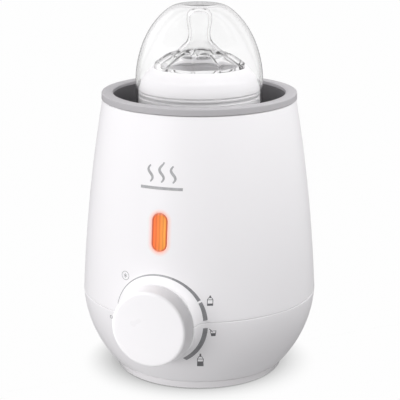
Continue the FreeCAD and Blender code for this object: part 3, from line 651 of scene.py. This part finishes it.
def surface_points(points):
    """Lattice points keep their own depth; front points take the flared surface's."""
    return np.array([(x, -float(front_depth(x, z)) if y is None else y, z) for x, y, z in points])


def surface_normals(points):
    """Outward directions, from the front surface's slope or the casing's round form."""
    out = np.zeros((len(points), 3))
    step = 0.01
    for n, (x, y, z) in enumerate(points):
        if y is None:
            out[n] = front_normal(x, z, step)
        else:
            slope = (casing_radius(z + step) - casing_radius(z - step)) / (2 * step)
            radius = math.hypot(x, y)
            out[n] = (x / radius, y / radius, -slope)
    return out / np.linalg.norm(out, axis=1, keepdims=True)


upper_shell = casing_half("upper_shell", True, CASING_WHITE)
lower_shell = casing_half("lower_shell", False, BOWL_WHITE)
put(upper_shell, "warmer", "casing_white", "upper_casing")
put(lower_shell, "warmer", "casing_white", "lower_casing")


# Lens and prints -----------------------------------------------------------

def lattice_points(polygons, pitch):
    """Grid points over the box that holds all the outlines."""
    flat = np.array([p for polygon in polygons for p in polygon])
    (low_x, low_z), (high_x, high_z) = flat.min(0), flat.max(0)
    return [(x, z) for x in np.arange(low_x + pitch / 2, high_x, pitch)
            for z in np.arange(low_z + pitch / 2, high_z, pitch)]


def covered(points, polygons):
    """Which points lie inside any of the outlines."""
    inside = np.zeros(len(points), bool)
    x, z = points[:, 0], points[:, 1]
    for polygon in polygons:
        crossings = np.zeros(len(points), bool)
        for (x0, z0), (x1, z1) in zip(polygon, polygon[1:] + polygon[:1]):
            if z0 != z1:
                spans = (z0 > z) != (z1 > z)
                crossings ^= spans & (x < x0 + (x1 - x0) * (z - z0) / (z1 - z0))
        inside |= crossings
    return inside


def printed_patch(name, polygons, material, lift=0.03, depth=0.12, pitch=1.0, surface=front_point):
    """A thin layer on the front of the warmer, covering the union of some front-view outlines."""
    verts, edges = [], []
    for polygon in polygons:
        first = len(verts)
        ids = list(range(first, first + len(polygon)))
        edges += list(zip(ids, ids[1:] + ids[:1]))
        verts += [Vector(p) for p in polygon]
    verts += [Vector(p) for p in lattice_points(polygons, pitch)]
    flat, _, triangles, _, _, _ = delaunay_2d_cdt(verts, edges, [], 0, 1e-5)
    plan = np.array([tuple(p) for p in flat])
    corners = plan[np.array(triangles)]
    kept = covered(corners.mean(1), polygons)
    x, z = plan[:, 0], plan[:, 1]
    top = surface(x, z, np.full(len(x), lift))
    under = surface(x, z, np.full(len(x), lift - depth))
    faces = [list(t) for t, keep in zip(triangles, kept) if keep]
    return make_object(name, np.vstack([top, under]), closed_layer(faces, len(flat)), material, 40.0)


def edge_lines(points, ahead, width):
    """The two edges of a line of some width, given the way it runs at each point."""
    ahead = ahead / np.linalg.norm(ahead, axis=1, keepdims=True)
    side = np.stack([-ahead[:, 1], ahead[:, 0]], -1) * np.reshape(width, (-1, 1)) / 2
    return [tuple(p) for p in points + side], [tuple(p) for p in points - side]


def ribbon(points, width):
    """Quads along a line, with a width that may change along it."""
    points = np.array(points, float)
    left, right = edge_lines(points, np.gradient(points, axis=0), width)
    return [[left[i], right[i], right[i + 1], left[i + 1]] for i in range(len(left) - 1)]


def loop_ribbon(points, width):
    """Quads round a closed line."""
    points = np.array(points, float)
    left, right = edge_lines(points, np.roll(points, -1, 0) - np.roll(points, 1, 0), width)
    left, right = left + left[:1], right + right[:1]
    return [[left[i], right[i], right[i + 1], left[i + 1]] for i in range(len(points))]


def circle_line(x, z, radius, count=40):
    return [(x + radius * math.cos(t), z + radius * math.sin(t))
            for t in np.linspace(0, 2 * math.pi, count, endpoint=False)]


def dial_arc(start_deg, end_deg, wide_start, wide_end, radius=24.9):
    """Part of the ring round the knob that thickens clockwise."""
    count = max(3, int(abs(start_deg - end_deg) / 3) + 1)
    turns = np.radians(np.linspace(start_deg, end_deg, count))
    line = [(radius * math.cos(t), KNOB_Z + radius * math.sin(t)) for t in turns]
    return ribbon(line, np.linspace(wide_start, wide_end, count))


def lens_surface(x, z, lift):
    """The casing's form, crowned a little and rounded off at the window's edge."""
    along = np.clip(z - WINDOW_Z, -WINDOW_STRAIGHT, WINDOW_STRAIGHT)
    off = np.hypot(x, z - WINDOW_Z - along)
    edge = np.clip(off - (WINDOW_WIDTH / 2 - 0.5), 0, 0.5)
    drop = 0.05 + 0.5 - np.sqrt(0.25 - np.minimum(edge, 0.499) ** 2)
    return front_point(x, z, lift - drop)


lens = printed_patch("window_lens", [window_outline(r) for r in (4.05, 3.99, 3.85, 3.6, 2.6, 1.2)],
                     LENS, 0.0, 2.6, 0.8, lens_surface)
put(lens, "warmer", "lens_orange", "indicator_lens")


def mark(name, polygons, material):
    put(printed_patch(name, polygons, material), "warmer", "pointer_grey")


for part, arc, ink in (("low", (167, 118, 0.4, 0.62), PRINT_MID), ("mid", (118, 72, 0.62, 1.0), PRINT_MID),
                       ("high", (72, 30, 1.0, 1.5), PRINT_GREY), ("warm", (27.5, 4.6, 1.6, 1.9), PRINT_GREY),
                       ("max", (-5.2, -59, 1.95, 2.2), PRINT_GREY)):
    mark("dial_arc_" + part, dial_arc(*arc), ink)


def moved(points, x, z):
    return [(px + x, pz + z) for px, pz in points]


def bottle_sign(x, z, width, height, filled):
    """A bottle seen from the side: nub, sloping shoulders and a body filled up to a level."""
    half, low, top = width / 2, -height / 2, height / 2
    shoulder, collar = top - 0.42 * height, top - 0.22 * height
    body = [(-half, low), (half, low), (half, shoulder), (0.75, collar), (-0.75, collar), (-half, shoulder)]
    nub = [(-0.5, collar - 0.1), (0.5, collar - 0.1), (0.36, top), (-0.36, top)]
    level = [(-half, low), (half, low), (half, low + filled * height), (-half, low + filled * height)]
    neck = ribbon(moved([(-half, shoulder), (0, shoulder), (half, shoulder)], x, z), 0.34)
    return loop_ribbon(moved(body, x, z), 0.34) + [moved(nub, x, z), moved(level, x, z)] + neck


def along_wall(shapes, x, z):
    """Lean a sign so that it follows the casing's own upright line through its middle."""
    middle = casing_radius(z)
    return [[(px + float(casing_radius(pz) - middle) * x / middle, pz) for px, pz in shape]
            for shape in shapes]


def jar_sign(x, z):
    """A jar of food with a spoon standing in it."""
    side = [(-0.85, -1.8), (0.85, -1.8), (1.35, 1.1), (-1.35, 1.1)]
    food = [(-0.85, -1.8), (0.85, -1.8), (1.15, -0.2), (-1.15, -0.2)]
    spoon = ribbon(moved([(-0.3, 0.4), (-0.9, 1.3), (-1.7, 2.3)], x, z), 0.38)
    return loop_ribbon(moved(side, x, z), 0.36) + [moved(food, x, z)] + spoon


def frost_sign(x, z):
    """A snowflake in a ring, for thawing."""
    arms = []
    for turn in np.radians([30, 90, 150]):
        end = (1.25 * math.cos(turn), 1.25 * math.sin(turn))
        arms += ribbon(moved([(-end[0], -end[1]), (0, 0), end], x, z), 0.34)
    return loop_ribbon(circle_line(x, z, 2.25), 0.3) + arms


def steam_sign(x, z):
    """Three wisps of steam over a bar, the sign for warming."""
    shapes = []
    for k, (shift, height) in enumerate([(-6.2, 8.6), (0.0, 10.4), (6.2, 8.6)]):
        rise = np.linspace(0, height, 25)
        sway = 1.25 * np.sin(rise / 8.6 * 2 * math.pi)
        width = 0.75 + 0.75 * np.sin(np.linspace(0, math.pi, 25))
        shapes += ribbon([(x + shift + dx, z - 3.4 + dz) for dx, dz in zip(sway, rise)], width)
    shapes += ribbon([(x + dx, z - 6.4) for dx in np.linspace(-11.5, 11.5, 24)], 1.5)
    return shapes


mark("sign_thaw", frost_sign(-19.6, 66.2), PRINT_MID)
mark("sign_bottle_small", bottle_sign(26.7, 57.0, 2.6, 5.3, 0.2), PRINT_DARK)
mark("sign_jar", jar_sign(28.2, 39.3), PRINT_DARK)
mark("sign_bottle_large", along_wall(bottle_sign(20.4, 22.4, 2.9, 8.4, 0.38), 20.4, 22.4), PRINT_DARK)
mark("sign_off", loop_ribbon(circle_line(-29.4, 41.0, 0.8, 20), 0.4), PRINT_MID)
mark("sign_steam", steam_sign(0.0, 121.0), PRINT_SOFT)


# Turned pieces -------------------------------------------------------------

rim = lathe("rim_crown", rounded([(51.5, 151.7, 0), (53.0, 151.7, 0.2), (52.9, 155.1, 0.55),
                                  (51.0, 155.5, 2.0), (48.6, 155.5, 2.0), (46.85, 155.1, 0.5),
                                  (46.8, 153.4, 0.1), (51.5, 153.4, 0)]), RIM_GREY, 256)
put(rim, "warmer", "rim_grey", "rim_ring")

cup = lathe("cup_liner", rounded([(27.0, 30.0, 0), (36.4, 30.0, 0.4), (36.8, 62.0, 6.0), (45.6, 80.6, 6.0),
                                  (48.2, 152.1, 0), (50.4, 152.1, 0), (50.4, 153.3, 0), (46.8, 153.3, 0.2),
                                  (44.2, 81.0, 6.0), (35.4, 62.6, 6.0), (35.0, 31.5, 2.0),
                                  (27.0, 31.5, 0.2)]), CUP_GREY, 192)


def rod(name, radius, low, high, x, y):
    """An upright cylinder used to add to or cut a turned piece."""
    return lathe(name, [(0, low), (radius, low), (radius, high), (0, high)], CUP_GREY, 48,
                 place=lambda p: p + np.array([x, y, 0.0]))


def polar(radius, turn_deg):
    return radius * math.cos(math.radians(turn_deg)), radius * math.sin(math.radians(turn_deg))


for turn in (30, 150, 270):
    x, y = polar(CUP_BOSS_CIRCLE, turn)
    boss = rod("cup_boss", 3.0, 23.0, 38.0, x, y)
    boolean(boss, rod("cup_boss_trim", 35.6, 0.0, 60.0, 0, 0), "DIFFERENCE")
    boolean(cup, boss, "UNION")
    boolean(cup, rod("cup_boss_hole", 1.15, 22.0, 34.0, x, y), "DIFFERENCE")
put(cup, "warmer", "cup_grey", "water_cup")

base = lathe("base_band", rounded([(0, 0.8, 0), (30.9, 0.8, 0.1), (30.9, 2.0, 0), (37.1, 2.0, 0),
                                   (37.1, 0.8, 0.1), (45.8, 0.8, 1.2), (47.3, 5.3, 0.25), (45.3, 5.3, 0),
                                   (45.3, 8.2, 0.1), (43.1, 8.2, 0.1), (43.1, 3.2, 0.3), (0, 3.2, 0)]),
             BASE_WHITE, 256)
for turn in (45, 135, 225, 315):
    x, y = polar(POST_CIRCLE, turn)
    post = rod("base_post", 4.4, 1.3, 9.1, x, y)
    boolean(post, rod("base_post_trim", 45.1, 0.0, 20.0, 0, 0), "INTERSECT")
    boolean(base, post, "UNION")
    boolean(base, rod("base_counterbore", 3.3, -1.0, 3.4, x, y), "DIFFERENCE")
    boolean(base, rod("base_screw_hole", 1.7, 0.0, 20.0, x, y), "DIFFERENCE")
for side in (-6.5, 6.5):
    boolean(base, rod("clamp_post", 2.5, 2.2, 14.8, side, 42.5), "UNION")
    boolean(base, rod("clamp_hole", 1.15, 7.0, 16.0, side, 42.5), "DIFFERENCE")
put(base, "warmer", "base_white", "base_cover")

foot = lathe("foot_pad", rounded([(31.0, 0.0, 0.5), (37.0, 0.0, 0.5), (37.0, 2.0, 0), (31.0, 2.0, 0)]),
             FOOT_BLACK, 128)
put(foot, "warmer", "foot_rubber", "foot_ring")

dish = [(r, 77.6 + 0.4 * (r / 18.2) ** 2) for r in np.linspace(18.2, 0, 12)]
knob_outline = ([(20.3, 68.9), (20.8, 68.95), (21.45, 69.6), (21.55, 69.8), (21.3, 71.3), (20.6, 75.0),
                 (20.3, 76.5)]
                + arc_points((18.8, 76.4), 1.6, 10, 84, 10)[1:] + dish)
knob_inside = [(0, 75.5), (3.05, 75.5), (3.05, 70.0), (6.0, 70.0), (6.0, 75.7), (18.5, 75.7), (19.7, 68.9)]
knob = lathe("knob_shell", knob_inside + knob_outline, KNOB_WHITE, 256, place=to_front)


def pointer_block(name, margin, low, high):
    """A bar lying along the skirt, as wide as the pointer plus a margin all round."""
    points = np.array([(x, y, z) for x in (low, high) for y in (-0.8 - margin, 0.8 + margin)
                       for z in (70.4 - margin, 75.8 + margin)])
    turn = math.radians(POINTER_TURN)
    points = np.stack([points[:, 0] * math.cos(turn) - points[:, 1] * math.sin(turn),
                       points[:, 0] * math.sin(turn) + points[:, 1] * math.cos(turn), points[:, 2]], -1)
    faces = [[0, 1, 3, 2], [4, 6, 7, 5], [0, 4, 5, 1], [2, 3, 7, 6], [0, 2, 6, 4], [1, 5, 7, 3]]
    return make_object(name, to_front(points), faces, POINTER_GREY)


pointer = pointer_block("pointer_bar", 0.0, 19.7, 23.0)
knob_copy = bpy.data.objects.new("knob_copy", knob.data.copy())
bpy.context.collection.objects.link(knob_copy)
boolean(pointer, knob_copy, "INTERSECT")
boolean(knob, pointer_block("pointer_slot", 0.05, 19.6, 23.0), "DIFFERENCE")
put(knob, "knob", "knob_white", "control_knob")
put(pointer, "knob", "pointer_grey", "knob_pointer")

gland = lathe("gland_bush", rounded([(3.1, 47.0, 0.2), (5.0, 47.0, 0.2), (5.0, 52.0, 0), (7.0, 52.0, 0),
                                     (7.0, 53.6, 0.5), (5.5, 54.4, 1.2), (4.9, 60.0, 0.5), (3.1, 60.0, 0.4)]),
              GLAND_GREY, 96, place=lambda p: to_back(p, GLAND_Z))
put(gland, "warmer", "gland_rubber", "cord_gland")

POCKET_RIM = 56.0
pocket = lathe("pocket_cutter", [(0, 44.0), (7.5, 44.0), (7.5, 68.0), (0, 68.0)], BOWL_WHITE, 96,
               place=lambda p: to_back(p, GLAND_Z))
boolean(lower_shell, pocket, "DIFFERENCE")


def pocket_wall(points):
    """The gland's pocket, its rim run up to the casing's skin."""
    placed = to_back(points, GLAND_Z)
    rim = points[:, 2] > POCKET_RIM - 1
    placed[rim, 1] = casing_depth(placed[rim, 0], placed[rim, 2]) - 0.7
    return placed


seat = lathe("gland_seat", [(5.1, 50.2), (9.2, 50.2), (9.2, POCKET_RIM), (7.5, POCKET_RIM), (7.5, 52.0),
                            (5.1, 52.0)], BOWL_WHITE, 96, place=pocket_wall)
put(seat, "warmer", "casing_white")

outside = ([(0, 31.6), (28.5, 31.6)] + arc_points((28.6, 35.5), 3.9, -80, -5, 8)
           + smooth_curve([(32.5, 37.0), (31.8, 60.0), (31.6, 88.0), (32.1, 110.0), (33.2, 128.0)], 6)
           + smooth_curve([(33.2, 128.0), (32.9, 133.5), (31.0, 138.6), (28.4, 142.0), (27.2, 144.4)], 5)
           + [(27.2, 162.8), (26.9, 163.1), (25.7, 163.1), (25.4, 162.8)])
inside = (smooth_curve([(25.4, 143.6), (26.8, 141.0), (29.4, 137.4), (31.0, 133.0), (31.4, 128.0)], 5)
          + smooth_curve([(31.4, 128.0), (30.3, 110.0), (29.8, 88.0), (30.0, 60.0), (30.7, 38.0)], 6)
          + arc_points((27.2, 37.1), 3.5, 0, -85, 8) + [(0, 33.6)])
bottle = lathe("bottle_shell", outside + inside, BOTTLE_CLEAR, 160)
put(bottle, "bottle", "bottle_clear", "bottle_body")

collar = lathe("collar_shell", rounded([
    (24.5, 168.0, 0.3), (25.3, 168.9, 0.6), (30.6, 163.6, 5.0), (33.0, 156.5, 0.35), (32.45, 156.3, 0.1),
    (32.45, 155.7, 0.1), (33.0, 155.5, 0.2), (33.0, 154.6, 0.2), (32.45, 154.4, 0.1), (32.45, 153.2, 0.1),
    (33.0, 153.0, 0.2), (33.0, 146.6, 0.3), (34.4, 146.6, 0.5), (34.4, 144.9, 0.5), (31.4, 144.9, 0.3),
    (31.4, 157.0, 1.0), (30.2, 160.2, 0.3), (30.2, 148.5, 0.2), (28.6, 148.5, 0.2), (28.6, 163.4, 0),
    (27.2, 165.2, 0), (24.5, 165.2, 0)], 5), COLLAR_WHITE, 224)
put(collar, "collar", "collar_white", "screw_ring")


DOME_RADIUS = 34.5
DOME_RISE = 45.5
DOME_SPRING = 160.0
DOME_TOP = 202.3
DOME_FLAT = 8.5
DOME_WALL = 1.1


def dome_side(shrink):
    """The dome's outline from its edge up and over a softened corner to the middle of its crown."""
    radius, rise, top = DOME_RADIUS - shrink, DOME_RISE - shrink, DOME_TOP - shrink
    reach = math.asin((top - DOME_SPRING) / rise)
    turns = np.linspace(0, reach - 0.11, 44)
    side = [(radius, 146.9), (radius, 150.0), (radius, 155.0)]
    side += [(radius * math.cos(t), DOME_SPRING + rise * math.sin(t)) for t in turns]
    start, corner, end = np.array([side[-1], (radius * math.cos(reach), top), (DOME_FLAT, top)])
    for k in np.linspace(0.1, 1.0, 10):
        side.append(tuple((1 - k) ** 2 * start + 2 * k * (1 - k) * corner + k**2 * end))
    return side + [(r, top) for r in np.linspace(DOME_FLAT, 0, 5)[1:]]


dome = lathe("dome_shell", dome_side(0) + dome_side(DOME_WALL)[::-1], CAP_CLEAR, 224)
put(dome, "cap", "cap_clear", "dome_cap")

teat_outside = smooth_curve([(1.6, 200.75), (3.2, 200.6), (4.7, 200.0), (6.1, 198.3), (6.75, 195.9),
                             (6.8, 193.2), (6.4, 190.2), (6.0, 187.4), (6.0, 184.9), (6.8, 182.3),
                             (9.1, 179.9), (12.8, 176.6), (18.3, 173.3), (23.0, 170.2), (24.1, 168.9)], 5)
teat_inside = smooth_curve([(22.6, 168.0), (21.7, 168.6), (17.3, 171.8), (11.8, 175.2), (7.9, 178.8),
                            (5.4, 181.6), (4.5, 184.9), (4.6, 188.0), (5.1, 191.0), (5.3, 194.0),
                            (4.9, 196.6), (3.6, 198.4), (2.0, 199.2)], 5)


def fluted(points):
    """Soft petals round the teat's base, which keep it from folding shut."""
    turns = np.arctan2(points[:, 1], points[:, 0])
    rise = np.clip((points[:, 2] - 167.6) / 2.2, 0, 1) * np.clip((177.0 - points[:, 2]) / 3.0, 0, 1)
    bulge = np.abs(np.sin(4.5 * turns)) ** 0.7 * np.sin(rise * math.pi / 2) ** 2
    radius = np.maximum(np.hypot(points[:, 0], points[:, 1]), 1e-6)
    out = 0.85 * bulge / radius
    return points + np.stack([points[:, 0] * out, points[:, 1] * out, 0.75 * bulge], -1)


teat = lathe("teat_skin", [(0.6, 199.3), (0.6, 200.8)] + teat_outside
             + [(24.1, 164.9), (26.8, 164.9), (26.8, 163.4), (22.6, 163.4)] + teat_inside, TEAT_CLEAR, 216,
             place=fluted)
put(teat, "nipple", "silicone_clear", "teat")


for clear in (dome, teat, bottle):
    clear.visible_diffuse = False
    clear.visible_shadow = False


# Inner parts ---------------------------------------------------------------

def coated_wire(name, colour):
    """Insulated wire: smooth sleeve with a faint waxy mottling."""
    return moulded_plastic(name, colour, 0.38, grain=0.05, spread=0.02)


INNER_FINISHES = {
    metal("plate_steel", (0.62, 0.61, 0.60), 0.3): ("heating_plate",),
    metal("element_metal", (0.42, 0.41, 0.40), 0.38): ("heating_element", "sensor_probe"),
    metal("bracket_steel", (0.58, 0.58, 0.57), 0.34): ("heater_clamp", "thermostat_bracket", "fuse_clip",
                                                       "cord_clamp"),
    metal("screw_steel", (0.50, 0.50, 0.50), 0.26): (
        "casing_screws", "heater_screws", "thermostat_screws", "lamp_screws", "cord_clamp_screws",
        "knob_clip", "thermostat_nut"),
    metal("copper", (0.72, 0.36, 0.22), 0.3): ("capillary_tube",),
    metal("brass", (0.74, 0.56, 0.27), 0.27): ("thermostat_terminals", "terminal_screws", "adjuster_nut",
                                               "thermostat_shaft"),
    metal("fuse_metal", (0.66, 0.65, 0.62), 0.22): ("thermal_fuse",),
    rubber("seal_silicone", (0.55, 0.16, 0.10), 0.5): ("cup_gasket", "plate_seal"),
    moulded_plastic("switch_black", (0.03, 0.03, 0.032), 0.42, grain=0.05): ("thermostat_body",),
    moulded_plastic("inner_plastic", (0.62, 0.60, 0.55), 0.4, grain=0.05): (
        "terminal_block", "thermostat_cover"),
    moulded_plastic("shroud_white", (0.80, 0.80, 0.78), 0.4, grain=0.05): ("lamp_shroud",),
    moulded_plastic("board_green", (0.03, 0.16, 0.07), 0.35, grain=0.08): ("lamp_board",),
    moulded_plastic("resistor_tan", (0.55, 0.42, 0.27), 0.42, grain=0.05): ("lamp_resistor",),
    moulded_plastic("led_amber", (0.80, 0.30, 0.06), 0.18, grain=0.01): ("indicator_leds",),
    coated_wire("lead_brown", (0.20, 0.09, 0.04)): ("live_lead", "switched_lead"),
    coated_wire("lead_blue", (0.04, 0.12, 0.38)): ("neutral_lead",),
    coated_wire("lead_white", (0.75, 0.75, 0.73)): ("lamp_lead",),
}
for finish, names in INNER_FINISHES.items():
    for name in names:
        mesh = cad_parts[name].data
        mesh.materials.clear()
        mesh.materials.append(finish)


# Stage ---------------------------------------------------------------------

# How near the floor a thing must be for the painted contact shadow to darken it, and half the floor's width,
# in metres
CONTACT_REACH = 0.018
FLOOR_REACH = 30


def floor_material():
    """White sweep that glows evenly and carries a painted contact shadow only close to what stands on it,
    most on its left and least in front.
    """
    n = Nodes("stage_white")
    # painted contact shadow: the floor's glow dims with how much of a leaned hemisphere nearby pieces hide
    open_sky = n.add("ShaderNodeAmbientOcclusion", Distance=CONTACT_REACH)
    open_sky.samples = 16
    lean = n.add("ShaderNodeCombineXYZ", X=0.24, Y=-0.33, Z=0.91)
    n.link(lean.outputs[0], open_sky.inputs["Normal"])
    hidden = n.math("SUBTRACT", 1.0, open_sky.outputs["AO"])
    painted_shade = n.math("SUBTRACT", 0.99, n.math("MULTIPLY", n.math("POWER", hidden, 1.8), 0.95))
    n.link(painted_shade, n.shader.inputs["Emission Strength"])
    n.link(n.ramp(n.noise(3.0), 0.88, 0.92), n.shader.inputs["Roughness"])
    n.set(Base_Color=(0, 0, 0, 1), Emission_Color=(1, 1, 1, 1), Specular_IOR_Level=0.0)
    return n.owner


floor_mesh = bpy.data.meshes.new("floor")
corners = [(x * FLOOR_REACH, y * FLOOR_REACH, 0) for x, y in ((-1, -1), (1, -1), (1, 1), (-1, 1))]
floor_mesh.from_pydata(corners, [], [(0, 1, 2, 3)])
floor = bpy.data.objects.new("floor", floor_mesh)
bpy.context.collection.objects.link(floor)
floor.data.materials.append(floor_material())
floor.visible_diffuse = False
floor.visible_glossy = False


# Camera: its turn and tilt, then its distance from the object's axis and its height, in metres
CAMERA_TURN = math.radians(19.7)
CAMERA_DOWN = math.radians(15.02)
CAMERA_REACH = 0.74853
CAMERA_HEIGHT = 0.29458


def area_light(name, place, target, size, energy, group):
    """A square lamp whose light is linked to a collection of pieces."""
    data = bpy.data.lights.new(name, "AREA")
    data.size = size
    data.energy = energy
    light = bpy.data.objects.new(name, data)
    light.location = place
    light.rotation_euler = (Vector(target) - Vector(place)).to_track_quat("-Z", "Y").to_euler()
    light.light_linking.receiver_collection = group
    light.visible_glossy = False
    light.visible_transmission = False
    bpy.context.collection.objects.link(light)


# Parts of the sky: the cosines between which each rises, and its strength before and after
SKY = (-0.7, 0.7, 0.2, 0.54)
LEFT_PANEL = (0.25, 0.77, 0.0, 1.0)
BEHIND = (0.3, 0.9, 0.0, 0.3)
FLOOR_GLOW = (0.52, 0.82, 0.0, 0.52)


def studio_world():
    """An even sky with a wide bright panel on the left, a weak one behind and a glow from below.

    Seen directly or through clear plastic it is white.
    """
    n = Nodes("studio", bpy.data.worlds, "Background")
    looking = n.add("ShaderNodeTexCoord").outputs["Generated"]

    def toward(direction, start, end, low, high):
        """Strength rising from low to high as the direction looked in nears the given one."""
        dot = n.add("ShaderNodeVectorMath", operation="DOT_PRODUCT")
        n.link(looking, dot.inputs[0])
        n.give(dot.inputs[1], tuple(Vector(direction).normalized()))
        return n.ramp(dot.outputs["Value"], low, high, start, end, "SMOOTHSTEP")

    left = (-math.cos(CAMERA_TURN), -math.sin(CAMERA_TURN), 0.05)
    behind = (-math.sin(CAMERA_TURN), math.cos(CAMERA_TURN), 0.0)
    above_floor = toward((0, 0, 1), -0.19, 0.31, 0.0, 1.0)
    total = toward((0, 0, 1), *SKY)
    total = n.math("ADD", total, n.math("MULTIPLY", toward(left, *LEFT_PANEL), above_floor))
    total = n.math("ADD", total, n.math("MULTIPLY", toward(behind, *BEHIND), above_floor))
    total = n.math("ADD", total, toward((0, 0, -1), *FLOOR_GLOW))
    path = n.add("ShaderNodeLightPath")
    for ray in ("Is Camera Ray", "Is Transmission Ray"):
        total = n.math("MAXIMUM", total, path.outputs[ray])
    n.link(total, n.shader.inputs["Strength"])
    n.set(Color=(1.0, 0.99, 1.0, 1))
    bpy.context.scene.world = n.owner


studio_world()


def around(turn_deg, distance, height):
    """A place at a turn from the camera's side of the object, a distance out and a height up."""
    turn = CAMERA_TURN + math.radians(turn_deg)
    return (distance * math.sin(turn), -distance * math.cos(turn), height)


def lamp_group(name, pieces, state="EXCLUDE"):
    """A collection of the pieces that a lamp leaves out, or with INCLUDE the only ones it lights."""
    group = bpy.data.collections.new(name)
    for k, piece in enumerate(pieces):
        group.objects.link(piece)
        group.collection_objects[k].light_linking.link_state = state
    return group


stage_and_knob = lamp_group("unlit_knob", [floor, knob])
area_light("key_left", around(-42, 1.05, 0.1), (0, 0, 0.1), 0.5, 4.9, lamp_group("unlit_stage", [floor]))
area_light("fill_right", around(77, 0.35, 0.36), (0, 0, 0.1), 0.3, 1.22, stage_and_knob)
area_light("top_front", around(-15, 0.36, 0.44), (0, 0, 0.13), 0.3, 0.42, stage_and_knob)
area_light("knob_left", around(-50, 0.16, 0.055), (0, -0.07, 0.045), 0.06, 0.021,
           lamp_group("lit_knob", [knob], "INCLUDE"))

bpy.context.scene.view_settings.view_transform = "Standard"

camera_data = bpy.data.cameras.new("camera")
camera_data.lens = 126.0
camera_data.sensor_width = 36.0
camera_data.shift_x = 0.00175
camera = bpy.data.objects.new("camera", camera_data)
camera.location = around(0, CAMERA_REACH, CAMERA_HEIGHT)
camera.rotation_euler = (math.pi / 2 - CAMERA_DOWN, 0, CAMERA_TURN)
bpy.context.collection.objects.link(camera)
bpy.context.scene.camera = camera
